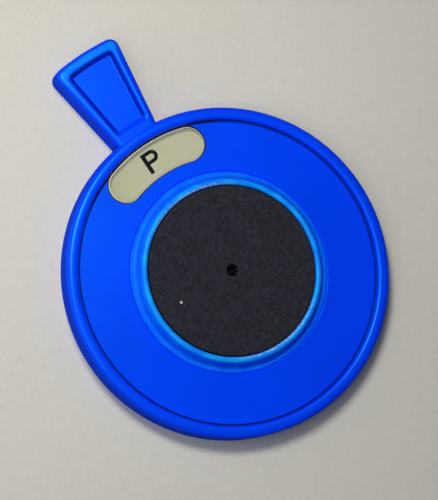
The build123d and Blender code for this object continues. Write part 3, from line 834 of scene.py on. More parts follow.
class Palette:
    """Every finish of the disc, each built once."""

    def __init__(self) -> None:
        """Build the materials."""
        # ABS in a pure ultramarine, moulded: satin gloss, with cyan highlights on every round edge
        # the blue pieces get painted shade: a dark navy laid into corners and grooves by an ambient-occlusion
        # mask
        blue = {"gloss": 0.9, "reflection": "30b4ff", "painted_shade": "000c70"}
        pigment = ("003afc", "0030e6")
        self.blue = Moulded("moulded blue ABS", *pigment, 0.35, **blue).material()
        # the same ABS on the shell, with a painted highlight in paler blue on the crest of the grip's far-end
        # frame
        self.shell = HighlightedShell("moulded blue ABS, highlighted_grip", *pigment, 0.33, **blue).material()
        # the same ABS in the groove round the window, painted dark navy as painted shade
        groove_shade = Moulded("moulded blue ABS, soiled groove", "000a52", "000640", 0.6, gloss=0.2)
        self.groove = groove_shade.material()
        # the same ABS on the steep flanks of the grip's pocket, painted darker blue as painted shade
        flank_shade = Moulded(
            "moulded blue ABS, soiled flank", "0020b0", "001c9c", 0.45, gloss=0.25, reflection="1060ff"
        )
        self.flank = flank_shade.material()
        # the same ABS on the collar, with a painted highlight on its upper flank and crest, and pale crest
        # streaks that are partly wear and partly painted highlight
        self.collar = HighlightedWornCollar("moulded blue ABS, highlighted_worn crest", *pigment, 0.33, **blue).material()
        # cross-linked polyethylene foam, cut from sheet: matt and almost black
        self.foam = CutFoam("cut black foam", "11111a", "2b2c3a").material()
        # printed polystyrene: warm grey-beige, matt ink coat
        printed = Moulded("printed beige polystyrene", "bebcb0", "b7b5a6", 0.7, grain=0.6, gloss=0.1)
        self.beige = printed.material()
        # screen-printed ink: near black with a blue cast, dead matt
        ink = Moulded("black dial ink", "020209", "040411", 0.85, grain=0.5, relief=0.002, gloss=0.02)
        self.ink = ink.material()
        # clear polystyrene: shows the dial with its own bright bevel
        self.clear = ClearPlastic("clear polystyrene").material()
        # the same plastic on the insert's ground bevel: frosted, so the rim of the window catches light
        frosted = Moulded("ground polystyrene edge", "d9d8bc", "cfceb0", 0.5, grain=0.2, gloss=0.4)
        self.ground = frosted.material()
        # acetal: milky white, waxy and low in friction
        self.acetal = Moulded("white acetal", "e6e4da", "dddbd0", 0.32, grain=0.6, relief=0.003).material()
        # double-sided film: pale tissue soaked with glue
        self.film = Moulded("adhesive tissue film", "cfc6a6", "c2b893", 0.5, grain=0.4).material()
        # zinc plate with a clear passivation: bright with faint clouds
        self.zinc = Metal("zinc-plated steel", "c6c8cc", "a9abb2", 0.28).material()
        # spring steel, blued by tempering
        self.spring = Metal("tempered spring steel", "8d9096", "6b7078", 0.3).material()
        # black oxide: oily dark skin that hardly shines down in its hole
        self.black_steel = Metal("black-oxide steel", "1b1b1e", "0f0f12", 0.5).material()


def dress(
    piece: Object, material: Material, body: Body, slot: str, *nodes: str
) -> Object:
    """Give a finished piece its material, hang it on its body and hide the CAD nodes that it stands for.

    Args:
        piece: The finished piece.
        material: Its material.
        body: The half that it moves with.
        slot: The record's material slot; not used.
        nodes: CAD nodes that it stands for.

    Returns:
        The same piece.
    """
    piece.data.materials.clear()
    piece.data.materials.append(material)
    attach(piece, body.value)
    if nodes:
        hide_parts(*nodes)
    log.info("%s rides on %s: %d faces", piece.name, body.value, len(piece.data.polygons))
    return piece


# ---------------------------------------------------------------- the shell


@dataclass(frozen=True)
class TabOutline:
    """The grip tab in plan: two straight sides that spread outwards and a far end that follows the disc.

    Attributes:
        half_root: Half width where the sides cross the rim's radius.
        half_end: Half width at the far end's radius.
        rim: Radius that half_root belongs to.
        far: Radius of the far end.
        corner: Radius of the far corners.
        near: Radius of the near end, or its distance when near_flat is set.
        near_flat: True for a straight near end with corners of its own.
    """

    half_root: float
    half_end: float
    rim: float
    far: float
    corner: float
    near: float
    near_flat: bool = False
    near_corner: float = 0.5

    def slope(self) -> float:
        """Spread of one side."""
        return (self.half_end - self.half_root) / (self.far - self.rim)

    def half(self, y: float, inset: float) -> float:
        """Half width at a distance from the axis, drawn in square to the side."""
        return self.half_root + self.slope() * (y - self.rim) - inset / math.cos(math.atan(self.slope()))

    def crossing(self, radius: float, inset: float) -> Point:
        """Point where the right side, drawn in, crosses a radius."""
        y = radius
        for _ in range(12):
            y = math.sqrt(radius ** 2 - self.half(y, inset) ** 2)
        return self.half(y, inset), y

    def loop(self, inset: float) -> list[Point]:
        """Outline drawn in all round by an inset, or let out by a negative one.

        Args:
            inset: Distance square to every edge.

        Returns:
            Points anticlockwise from the near end's middle, always equally many.
        """
        lean = math.atan(self.slope())
        far = self.far - inset
        radius = max(self.corner - inset, 0.05)
        centre = self.crossing(far - radius, inset + radius)
        right = self.near_end(inset, lean)
        right += arc(centre, radius, -lean, math.atan2(centre[1], centre[0]), 12)
        start = math.atan2(centre[1], centre[0])
        right += arc((0, 0), far, start, math.pi / 2, 16)[1:]
        left = [(-x, y) for x, y in right[::-1]]
        return right[:-1] + left[:-1]

    def near_end(self, inset: float, lean: float) -> list[Point]:
        """Right half of the near end, from its middle to its corner."""
        if not self.near_flat:
            corner = self.crossing(self.near, inset)
            return arc((0, 0), self.near, math.pi / 2, math.atan2(corner[1], corner[0]), 6)
        low = self.near + inset
        radius = max(self.near_corner - inset, 0.05)
        centre = (self.half(low + radius, inset + radius), low + radius)
        return [(0.0, low)] + arc(centre, radius, -math.pi / 2, -lean, 8)


@dataclass(frozen=True)
class WindowSlot:
    """Round-ended slot along an arc, over the dial's figures."""

    middle: float = 48.5
    width: float = 12.74
    half_angle: float = math.radians(16.7)
    groove: float = 0.33
    groove_depth: float = 1.1

    def loop(self, grow: float) -> list[Point]:
        """Outline let out all round by a distance."""
        half = self.width / 2 + grow
        start, end = math.pi / 2 - self.half_angle, math.pi / 2 + self.half_angle
        outer = arc((0, 0), self.middle + half, start, end, 40)
        inner = arc((0, 0), self.middle - half, end, start, 40)
        left_end = arc(polar(self.middle, end), half, end, end + math.pi, 24)[1:-1]
        right_end = arc(polar(self.middle, start), half, start - math.pi, start, 24)[1:-1]
        return outer + left_end + inner + right_end


@dataclass
class FrontHousing:
    """Front plate, rim bead, skirt and grip tab, moulded in one piece."""

    plate_face: float = field(default_factory=lambda: top("window_lens"))
    rim_radius: float = field(default_factory=lambda: reach("front_housing"))
    tab_reach: float = field(default_factory=lambda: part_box("front_housing")[1].y / MM)
    bead_top: float = field(default_factory=lambda: top("front_housing"))
    bead_width: float = 4.5
    valley_width: float = 0.8
    valley_depth: float = 0.4
    outer_fullness: float = 0.95
    inner_fullness: float = 0.6
    skirt_wall: float = 2.0
    seat_wall: float = 1.0
    seat_depth: float = 1.8
    plate_thickness: float = 2.0
    bore: float = 36.6
    bore_chamfer: float = 0.35
    outer_edge: float = 0.3
    tab_half_root: float = 8.6
    tab_half_end: float = 13.9
    tab_corner: float = 3.4
    frame_height: float = 1.4
    frame_round: float = 2.1
    frame_drop: float = 1.7
    pocket_side_root: float = 3.9
    pocket_side_end: float = 4.9
    pocket_end: float = 5.3
    pocket_near: float = 3.8
    pocket_depth: float = 1.6
    pocket_flank: float = 2.1
    flank_lean: float = 0.3  # a face leans inwards past this part of its normal
    flank_level: float = 0.93  # and is steep under this part
    flank_top_unshaded: float = 0.3  # share of the depth at the top of the flank left without painted shade
    boss_radius: float = 3.4
    boss_bottom: float = 3.0
    bore_radius: float = 1.1
    rib: float = 1.2
    screw_inset: float = 6.4

    def section(self) -> list[Point]:
        """Section of the round part, as radius and height."""
        outer, face = self.rim_radius, self.plate_face
        crest = outer - self.bead_width / 2
        height = self.bead_top - face
        bead = []
        for index in range(40):
            c, s = polar(1, math.pi * index / 40)
            power = self.outer_fullness if c > 0 else self.inner_fullness
            bead.append((crest + self.bead_width / 2 * full(c, power), face + height * full(s, power)))
        back = face - self.plate_thickness
        inner = outer - self.skirt_wall
        foot = outer - self.bead_width
        start = rounded([
            (self.bore, back), (inner, back, 0.5), (inner, self.seat_depth),
            (outer - self.seat_wall, self.seat_depth), (outer - self.seat_wall, 0, 0.2),
            (outer, 0, self.outer_edge), (outer, face - 0.5),
        ])
        end = [
            (foot, face - self.valley_depth), (foot - self.valley_width * 0.5, face - self.valley_depth),
            (foot - self.valley_width * 0.85, face - self.valley_depth * 0.25),
            (foot - self.valley_width, face),
            (self.bore + self.bore_chamfer + 0.08, face),
            (self.bore + self.bore_chamfer - 0.06, face - 0.06), (self.bore, face - self.bore_chamfer),
        ]
        return start + bead[:-1] + end

    def outline(self, near: float) -> TabOutline:
        """Tab's outline in plan from a radius near the rim."""
        return TabOutline(
            self.tab_half_root, self.tab_half_end, self.rim_radius, self.tab_reach, self.tab_corner, near
        )

    def tab_block(self) -> Object:
        """Solid tab with its rounded outer top edge."""
        plan = self.outline(self.rim_radius - 1.4)
        high = self.plate_face + self.frame_height
        levels = list(FOOT_EDGE)
        for index in range(11):
            c, s = polar(1, math.pi / 2 * index / 10)
            levels.append((self.frame_round * (1 - c), high - self.frame_drop * (1 - s)))
        return stacked("tab block", [(plan.loop(inset), z) for inset, z in levels])

    def pocket(self) -> Object:
        """Tool for the tab's front pocket, whose flanks swell up into the frame's crown."""
        near = self.rim_radius + self.pocket_near
        half_root = self.outline(0).half(near, self.pocket_side_root)
        half_end = self.outline(0).half(self.tab_reach, self.pocket_side_end)
        spread = (half_end - half_root) / (self.tab_reach - near)
        far = self.tab_reach - self.pocket_end
        half_far = half_root + spread * (far - near)
        plan = TabOutline(half_root, half_far, near, far, 0.4, near, True, 0.4)
        high = self.plate_face + self.frame_height
        low = high - self.pocket_depth
        flank, depth = self.pocket_flank, self.pocket_depth
        knee = (flank * 0.5, depth * 0.62)
        levels = [(0.25, 0.0), (0.06, 0.04), (-0.08, 0.16)]
        for index in range(9):
            c, s = polar(1, math.pi / 4 * (1 + index / 8))
            levels.append((-knee[0] - (flank - knee[0]) * (1 - c / math.cos(math.pi / 4)),
                           depth - (depth - knee[1]) * (1 - s) / (1 - math.sin(math.pi / 4))))
        levels.append((-flank - 0.05, depth + 0.6))
        return stacked("pocket tool", [(plan.loop(inset), low + z) for inset, z in levels])

    def screw_places(self) -> list[Point]:
        """Places of the cover's screws, two at the far corners and one near the rim."""
        far_y = self.tab_reach - self.screw_inset - 2
        far_x = self.outline(0).half(far_y, self.screw_inset)
        return [(-far_x, far_y), (far_x, far_y), (0.0, self.rim_radius + self.boss_radius + 4.5)]

    def snap_pockets(self) -> Object:
        """Tool for the six pockets that the cover's snap hooks drop in."""
        hooks = SnapHooks(clearance=0.15)
        return repeated(hooks.one("snap pocket"), hooks.count)

    def build(self, palette: Palette) -> Object:
        """Mould the housing and dress it."""
        piece = turned("front_housing_shell", self.section())
        cavity_top = self.plate_face + self.frame_height - self.pocket_depth - self.plate_thickness
        combine(piece, Combine.JOIN, [self.tab_block()])
        seat = self.outline(self.rim_radius - self.skirt_wall).loop(self.seat_wall)
        hollow = self.outline(self.rim_radius).loop(self.skirt_wall)
        window = WindowSlot()
        combine(piece, Combine.CUT, [
            stacked("seat tool", [(seat, -PAST), (seat, self.seat_depth)]),
            stacked("hollow tool", [(hollow, -PAST), (hollow, cavity_top)]),
            self.pocket(),
            stacked("window tool", [
                (window.loop(0), 0.0), (window.loop(0), self.plate_face - window.groove_depth),
                (window.loop(window.groove), self.plate_face - window.groove_depth),
                (window.loop(window.groove), self.plate_face + PAST),
            ]),
            self.snap_pockets(),
        ])
        rib_y = (self.rim_radius + self.tab_reach) / 2
        half = self.tab_half_root
        rib = rectangle((-half, rib_y - self.rib / 2), (half, rib_y + self.rib / 2))
        ribs = stacked("rib", [(rib, self.seat_depth + 1), (rib, cavity_top + 0.2)])
        bosses = [post("boss", place, self.boss_radius, self.boss_bottom, cavity_top + 0.2)
                  for place in self.screw_places()]
        combine(piece, Combine.JOIN, [ribs, *bosses])
        combine(piece, Combine.CUT, [post("bore", place, self.bore_radius, 0, cavity_top + 0.4)
                                     for place in self.screw_places()])
        smooth(piece)
        dress(piece, palette.shell, Body.SHELL, "blue_abs", "front_housing")
        piece.data.materials.append(palette.groove)
        piece.data.materials.append(palette.flank)
        # painted shade: faces in the window's groove and on the steep flanks of the grip's pocket get darker
        # blue materials
        for face in piece.data.polygons:
            place = face.center / MM
            if self.in_groove(place, window):
                face.material_index = piece.data.materials.find(palette.groove.name)
            elif self.on_flank(place, face.normal):
                face.material_index = piece.data.materials.find(palette.flank.name)
        return piece

    def on_flank(self, place: Vector, facing: Vector) -> bool:
        """True for a point on the steep part of the pocket's flanks, its near end left out: these faces get
        painted shade.
        """
        high = self.plate_face + self.frame_height
        inwards = facing.x * place.x < -self.flank_lean * abs(place.x) or facing.y < -self.flank_lean
        steep = facing.z < self.flank_level and inwards
        deep = high - self.pocket_depth - 0.1 < place.z < high - self.flank_top_unshaded * self.pocket_depth
        return steep and deep and place.y > self.rim_radius + self.pocket_near

    def in_groove(self, place: Vector, window: WindowSlot) -> bool:
        """True for a point in the groove round the window, whose faces get painted shade."""
        low, high = self.plate_face - window.groove_depth - 0.05, self.plate_face - 0.02
        radius = math.hypot(place.x, place.y)
        off_middle = abs(radius - window.middle) < window.width / 2 + window.groove + 0.1
        off_axis = abs(math.atan2(place.x, place.y)) < window.half_angle + window.width / window.middle
        return low < place.z < high and off_middle and off_axis


@dataclass(frozen=True)
class SnapHooks:
    """Hooks round the cover that snap into pockets of the skirt."""

    clearance: float = 0.0
    count: int = 6
    ring: float = 57.8
    hook: float = 0.5
    height: float = 0.7
    top: float = 3.6
    half_angle: float = math.radians(4)
    step: float = 0.05

    def one(self, name: str) -> Object:
        """One hook, or with a clearance its pocket, on +X."""
        outer = self.ring + self.hook + self.clearance
        spread = self.half_angle + self.clearance / outer
        plan = arc((0, 0), outer, -spread, spread, 8) + arc((0, 0), self.ring - 0.4, spread, -spread, 8)
        low = self.top - self.height - self.clearance
        return stacked(name, [(plan, low), (plan, self.top - self.step + self.clearance)])


@dataclass
class Lens:
    """Clear insert of one window: a plug that fills the opening and a flange behind the wall."""

    side: Side
    gap: float = 0.12
    flange: float = 1.2
    flange_thickness: float = 0.8
    edge: float = 0.35

    def node(self) -> str:
        """Name of the CAD node that this lens stands for."""
        return "window_lens" if self.side is Side.FRONT else "rear_lens"

    def build(self, palette: Palette) -> Object:
        """Mould the lens and dress it."""
        slot = WindowSlot()
        low, high = bottom(self.node()), top(self.node())
        if self.side is Side.REAR:
            low, high = high, low
        way = 1 if high > low else -1
        step = low + way * self.flange_thickness
        levels = [
            (self.flange - 0.1, low), (self.flange, low + way * 0.1), (self.flange, step - way * 0.1),
            (self.flange - 0.1, step), (-self.gap, step), (-self.gap, high - way * self.edge),
            (-self.gap - self.edge, high),
        ]
        piece = stacked(self.node() + "_clear", [(slot.loop(grow), z) for grow, z in levels])
        smooth(piece)
        dress(piece, palette.clear, Body.SHELL, "clear_lens", self.node())
        piece.data.materials.append(palette.ground)
        for face in piece.data.polygons:
            on_bevel = abs(face.center.z / MM - high) < self.edge and 0.3 < abs(face.normal.z) < 0.9
            face.material_index = 1 if on_bevel else 0
        return piece


@dataclass
class RearCover:
    """Closing plate: snap ring, dished centre for the cap, rear window and screw seats."""

    thickness: float = 1.8
    inset: float = 1.1
    dish_radius: float = 14.95
    dish_outer: float = 16.55
    dish_face: float = 2.0
    dish_inside: float = 3.3
    bush_seat: float = 10.05
    snap_wall: float = 0.8
    edge: float = 0.3
    post_radius: float = 1.9
    boss_top: float = 3.0
    shank_hole: float = 1.25
    head_hole: float = 2.5
    head_depth: float = 1.5

    def section(self, radius: float) -> list[Point]:
        """Section of the round part, as radius and height."""
        snap = SnapHooks()
        flat = self.thickness
        return rounded([
            (self.bush_seat, self.dish_face), (self.bush_seat, self.dish_inside, 0.2),
            (self.dish_outer, self.dish_inside, 0.3), (self.dish_outer, flat, 0.3),
            (snap.ring - self.snap_wall, flat), (snap.ring - self.snap_wall, snap.top, 0.2),
            (snap.ring, snap.top, 0.2), (snap.ring, flat), (radius, flat),
            (radius, 0, self.edge), (self.dish_radius, 0, 0.3), (self.dish_radius, self.dish_face, 0.3),
        ])

    def posts(self) -> list[Object]:
        """Two posts that grip the click spring's ends."""
        spring_low, spring_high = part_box("click_spring")
        y = spring_low.y / MM + 0.2
        x = spring_high.x / MM - 2.5
        high = top("click_spring")
        return [post("spring post", (way * x, y), self.post_radius, 1.0, high) for way in (-1, 1)]

    def build(self, housing: FrontHousing, palette: Palette) -> Object:
        """Mould the cover to the housing's outline and dress it."""
        radius = housing.rim_radius - self.inset
        piece = turned("rear_cover_plate", self.section(radius))
        plan = housing.outline(radius - 0.6)
        levels = [*FOOT_EDGE, (0.0, self.thickness)]
        tab = stacked("cover tab", [(plan.loop(self.inset + inset), z) for inset, z in levels])
        snap = SnapHooks()
        hooks = repeated(snap.one("snap hook"), snap.count)
        places = housing.screw_places()
        bosses = [post("seat", place, housing.boss_radius, 0.9, self.boss_top) for place in places]
        slot = WindowSlot()
        window = [(slot.loop(0.25), -0.05), (slot.loop(0), 0.2), (slot.loop(0), self.thickness + PAST)]
        combine(piece, Combine.CUT, [stacked("rear window tool", window)])
        combine(piece, Combine.JOIN, [tab, hooks, *self.posts(), *bosses])
        tools = []
        for place in places:
            tools.append(post("shank hole", place, self.shank_hole, -PAST, self.boss_top + PAST))
            tools.append(post("head hole", place, self.head_hole, -PAST, self.head_depth))
        combine(piece, Combine.CUT, tools)
        smooth(piece)
        return dress(piece, palette.blue, Body.SHELL, "blue_abs", "rear_cover")


# ---------------------------------------------------------------- the hub


@dataclass
class Hub:
    """Collar round the pad, foot that runs in the front plate, flange behind it and central shaft."""

    plate_face: float = field(default_factory=lambda: top("window_lens"))
    crest_top: float = field(default_factory=lambda: top("hub"))
    flange_radius: float = field(default_factory=lambda: reach("hub"))
    floor_top: float = field(default_factory=lambda: bottom("pad_film"))
    dial_top: float = field(default_factory=lambda: top("time_dial"))
    seat_radius: float = 31.1
    crest_width: float = 2.2
    flank: float = 1.9
    foot_height: float = 0.15
    journal: float = 36.55
    chamfer: float = 0.35
    wall: float = 2.2
    floor: float = 2.0
    flange_thickness: float = 0.8
    shaft: float = 8.5
    shaft_end: float = field(default_factory=lambda: bottom("hub"))
    socket_flats: float = 8.2
    socket_top: float = 6.2
    screw_hole: float = 1.65
    head_hole: float = 3.1
    rib: float = 1.4
    rib_count: int = 6
    boss_radius: float = 3.0
    boss_circle: float = 19.95
    boss_count: int = 3
    boss_start: float = math.radians(30)
    boss_bore: float = 1.1
    screw_head: float = 2.3

    def section(self) -> list[Point]:
        """Section of the turned part, as radius and height."""
        crest_mid = self.seat_radius + self.crest_width / 2
        crest_out = self.seat_radius + self.crest_width
        side = self.crest_top - self.crest_width * 0.42
        foot_z = self.plate_face + self.foot_height
        collar_height = self.crest_top - self.plate_face
        crest = [
            (crest_mid + self.crest_width / 2 * math.cos(a), side + (self.crest_top - side) * math.sin(a))
            for a in (math.pi * (20 - index) / 20 for index in range(1, 20))
        ]
        flank = bezier(
            (crest_out, side),
            (crest_out + self.flank * 0.35, self.plate_face + collar_height * 0.45),
            (crest_out + self.flank * 0.55, foot_z + 0.1),
            (crest_out + self.flank, foot_z), 18,
        )
        flange_top = self.dial_top + self.flange_thickness
        inner = self.journal - self.wall
        under = self.floor_top - self.floor
        outer = rounded([
            (self.journal - self.chamfer, foot_z, 0.1), (self.journal, foot_z - self.chamfer, 0.1),
            (self.journal, flange_top), (self.flange_radius, flange_top, 0.15),
            (self.flange_radius, self.dial_top, 0.15), (inner, self.dial_top), (inner, under, 0.5),
            (self.shaft, under, 0.5), (self.shaft, self.shaft_end, 0.25), (self.screw_hole, self.shaft_end),
            (self.screw_hole, self.head_seat()), (self.head_hole, self.head_seat()),
            (self.head_hole, self.floor_top), (self.seat_radius, self.floor_top, 0.2),
            (self.seat_radius, side - 0.3),
        ])
        return outer + [(self.seat_radius, side)] + crest + flank

    def head_seat(self) -> float:
        """Height under the centre screw's head."""
        return self.floor_top - self.screw_head

    def build(self, palette: Palette) -> Object:
        """Mould the hub and dress it."""
        piece = turned("hub_collar", self.section())
        under = self.floor_top - self.floor
        inner = self.journal - self.wall
        rib = rectangle((self.shaft - 1, -self.rib / 2), (inner + 1, self.rib / 2))
        ribs = repeated(stacked("rib", [(rib, self.dial_top + 0.6), (rib, under + 0.3)]), self.rib_count)
        boss = post("boss", (self.boss_circle, 0), self.boss_radius, self.dial_top, under + 0.3)
        bosses = repeated(boss, self.boss_count, self.boss_start)
        combine(piece, Combine.JOIN, [ribs, bosses])
        flats = hexagon(self.socket_flats)
        socket = stacked("socket tool", [(flats, 0.3), (flats, self.socket_top)])
        deep = under + self.floor * 0.4
        bore = post("bore", (self.boss_circle, 0), self.boss_bore, self.dial_top - PAST, deep)
        combine(piece, Combine.CUT, [socket, repeated(bore, self.boss_count, self.boss_start)])
        smooth(piece)
        return dress(piece, palette.collar, Body.HUB, "blue_abs", "hub")


@dataclass
class MountingPad:
    """Foam pad that sticks to the windscreen, and the film under it."""

    radius: float = field(default_factory=lambda: reach("mounting_pad"))
    face: float = field(default_factory=lambda: top("mounting_pad"))
    back: float = field(default_factory=lambda: bottom("mounting_pad"))
    hole: float = 2.15
    edge: float = 0.45
    row: float = 0.42
    cell: float = 0.9
    depth: float = 0.07

    def section(self) -> list[Point]:
        """Section of the pad: its face is a row of short steps, fine enough to carry the foam's cells."""
        rows = int((self.radius - self.hole) / self.row)
        edge = self.radius - self.edge
        face = [(edge - (edge - self.hole - self.edge) * i / rows, self.face) for i in range(rows + 1)]
        low, near = self.face - self.edge, self.edge * 0.3
        outer = [(self.radius, self.back), (self.radius, low), (self.radius - near, self.face - near)]
        inner = [(self.hole + near, self.face - near), (self.hole, low), (self.hole, self.back)]
        return outer + face + inner

    def build(self, palette: Palette) -> Object:
        """Cut the pad, give it its skin, and lay it on its film."""
        film = turned("pad_film_sheet", ring("pad_film", self.hole, 0), 96)
        dress(film, palette.film, Body.HUB, "film", "pad_film")
        piece = turned("mounting_pad_foam", self.section(), 360)
        piece.data.shade_smooth()
        run_tree(piece, foam_tree(), {
            "Face height": (self.face - self.edge * 0.5) * MM, "Cell scale": per_metre(self.cell),
            "Depth": self.depth * MM, "Material": palette.foam,
        })
        piece = dress(piece, palette.foam, Body.HUB, "foam_pad", "mounting_pad")
        return piece


@dataclass
class Dial:
    """Printed dial with its figures on both faces."""

    def build(self, palette: Palette) -> None:
        """Dress the dial and the figures, whose shapes come from the CAD."""
        dress(cad_copy("time_dial"), palette.beige, Body.HUB, "dial_beige", "time_dial")
        for node in ("front_figures", "rear_figures"):
            dress(cad_copy(node), palette.ink, Body.HUB, "ink_black", node)


@dataclass
class ClickStop:
    """Notched ring and leaf spring that hold the shell at each half hour."""

    notch_count: int = 24
    notch_radius: float = 1.1
    notch_beyond: float = 0.25
    radius: float = 23.95
    bore: float = 8.6
    screw_hole: float = 1.25
    edge: float = 0.12

    def build(self, palette: Palette) -> None:
        """Cut the ring's notches and dress the ring and the spring."""
        low, high = bottom("click_ring"), top("click_ring")
        corners = rectangle((self.bore, low), (self.radius, high))
        section = rounded([(*corner, self.edge) for corner in corners])
        piece = turned("click_ring_notched", section)
        at = (self.radius + self.notch_beyond, 0.0)
        notch = post("notch", at, self.notch_radius, low - PAST, high + PAST)
        notches = repeated(notch, self.notch_count, -math.pi / 2)
        hub = Hub()
        hole = post("hole", (hub.boss_circle, 0), self.screw_hole, low - PAST, high + PAST)
        combine(piece, Combine.CUT, [notches, repeated(hole, hub.boss_count, hub.boss_start)])
        smooth(piece)
        dress(piece, palette.acetal, Body.HUB, "acetal", "click_ring")
        dress(cad_copy("click_spring"), palette.spring, Body.SHELL, "spring_steel", "click_spring")


@dataclass
class Bearing:
    """What the shell turns on: slip ring, bush, conical spring washer and the cap that holds them."""

    cap_edge: float = 0.45
    cap_thickness: float = 1.3
    key_flats: float = 8.0
    bush_inner: float = 8.55
    washer_inner: float = 10.55
    washer_sheet: float = 0.3
    slip_inner: float = 36.65
    slip_edge: float = 0.05
    bush_edge: float = 0.1
    pilot: float = 1.5
    pilot_floor: float = 1.7
    stem: float = 3.6
    dish: float = 9.8
    dish_depth: float = 0.35

    def cap(self, palette: Palette) -> Object:
        """Rear cap with its shallow dished face and its hexagonal key."""
        radius = reach("rear_cap")
        section = rounded([
            (self.pilot, self.pilot_floor), (self.pilot, top("rear_cap")), (self.stem, top("rear_cap")),
            (self.stem, self.cap_thickness), (radius, self.cap_thickness, 0.15), (radius, 0, self.cap_edge),
            (self.dish + 0.4, 0, 0.25), (self.dish, self.dish_depth, 0.25), (0, self.dish_depth),
            (0, self.pilot_floor),
        ])
        piece = turned("rear_cap_disc", section)
        flats = hexagon(self.key_flats)
        key = stacked("key", [(flats, self.cap_thickness - 0.3), (flats, top("rear_cap"))])
        combine(piece, Combine.JOIN, [key])
        pilot = post("pilot", (0, 0), self.pilot, self.pilot_floor, top("rear_cap") + PAST)
        combine(piece, Combine.CUT, [pilot])
        smooth(piece)
        return dress(piece, palette.blue, Body.HUB, "blue_abs", "rear_cap")

    def build(self, palette: Palette) -> None:
        """Turn the bearing's rings and dress them."""
        self.cap(palette)
        slip = ring("slip_ring", self.slip_inner, self.slip_edge)
        bush = ring("rear_bush", self.bush_inner, self.bush_edge)
        low, high = bottom("spring_washer"), top("spring_washer")
        washer = [
            (self.washer_inner, high - self.washer_sheet), (reach("spring_washer"), low),
            (reach("spring_washer"), low + self.washer_sheet), (self.washer_inner, high),
        ]
        for name, section, material, body, slot in (
            ("slip_ring", slip, palette.acetal, Body.HUB, "acetal"),
            ("rear_bush", bush, palette.acetal, Body.SHELL, "acetal"),
            ("spring_washer", washer, palette.spring, Body.HUB, "spring_steel"),
        ):
            piece = turned(name + "_turned", section)
            smooth(piece)
            dress(piece, material, body, slot, name)


# ---------------------------------------------------------------- fasteners


@dataclass(frozen=True)
class PanScrew:
    """Pan-head screw with a cross recess, its head's seat at height zero and its shank below."""

    shank: float
    head: float
    height: float
    length: float
    thread_pitch: float = 0.7

    def build(self) -> Object:
        """Turn the screw and cut its recess."""
        crest = self.height
        section = [(0.0, -self.length), (self.shank * 0.6, -self.length)]
        turns = int((self.length - 0.5) / self.thread_pitch)
        z = -self.length + 0.45
        for _ in range(turns):
            section += [(self.shank * 0.82, z), (self.shank, z + self.thread_pitch * 0.35),
                        (self.shank, z + self.thread_pitch * 0.5)]
            z += self.thread_pitch
        section += [(self.shank * 0.82, -0.05), (self.shank, 0.0), (self.head * 0.97, 0.0), (self.head, 0.05)]
        knee = self.height * 0.45
        section += arc((self.head - knee, crest - knee), knee, 0, math.pi / 2, 8)
        section.append((0.0, crest))
        piece = turned("screw", section, 64)
        arm = self.shank * 0.45
        long = self.shank * 1.05
        deep = crest - self.height * 0.6
        for long_x, long_y in ((long, arm), (arm, long)):
            plan = rectangle((-long_x, -long_y), (long_x, long_y))
            narrow = [(x * 0.75, y * 0.75) for x, y in plan]
            combine(piece, Combine.CUT, [stacked("recess", [(narrow, deep), (plan, crest + 0.2)])])
        smooth(piece)
        return piece


@dataclass
class Fasteners:
    """Every screw of the disc."""

    seed: int = 7
    cover_head: float = 1.2

    def set_screws(
        self, name: str, screw: PanScrew, places: Sequence[Point], seat: float, head_down: bool,
        material: Material,
    ) -> Object:
        """Put one kind of screw at its places.

        Args:
            name: Name of the finished piece.
            screw: The screw.
            places: Its places in plan.
            seat: Height of the face under its head.
            head_down: True for a screw driven from behind.
            material: Its finish.

        Returns:
            One piece that holds every screw of the kind.
        """
        one = screw.build()
        if head_down:
            one.data.transform(Matrix.Rotation(math.pi, 4, "X"))
        mesh = bpy.data.meshes.new(name)
        mesh.from_pydata([(x * MM, y * MM, seat * MM) for x, y in places], [], [])
        piece = bpy.data.objects.new(name, mesh)
        bpy.context.scene.collection.objects.link(piece)
        run_tree(piece, screw_tree(), {"Screw": one, "Seed": self.seed, "Material": material})
        bpy.data.objects.remove(one)
        return piece

    def build(self, housing: FrontHousing, hub: Hub, palette: Palette) -> None:
        """Set and dress every screw."""
        centre = self.set_screws(
            "centre_screw_black", PanScrew(1.5, 2.8, 2.0, hub.head_seat() - bottom("centre_screw")),
            [(0.0, 0.0)], hub.head_seat(), False, palette.black_steel,
        )
        dress(centre, palette.black_steel, Body.HUB, "black_steel", "centre_screw")
        seat = bottom("click_ring")
        angles = [hub.boss_start + math.tau * i / hub.boss_count for i in range(hub.boss_count)]
        places = [polar(hub.boss_circle, angle) for angle in angles]
        dial = self.set_screws(
            "dial_screws_zinc", PanScrew(1.1, 2.0, 1.3, top("dial_screws") - seat), places, seat, True,
            palette.zinc,
        )
        dress(dial, palette.zinc, Body.HUB, "zinc_steel", "dial_screws")
        seat = bottom("cover_screws") + self.cover_head
        cover = self.set_screws(
            "cover_screws_zinc", PanScrew(1.1, 2.2, self.cover_head, top("cover_screws") - seat),
            housing.screw_places(), seat, True, palette.zinc,
        )
        dress(cover, palette.zinc, Body.SHELL, "zinc_steel", "cover_screws")


# ---------------------------------------------------------------- the studio


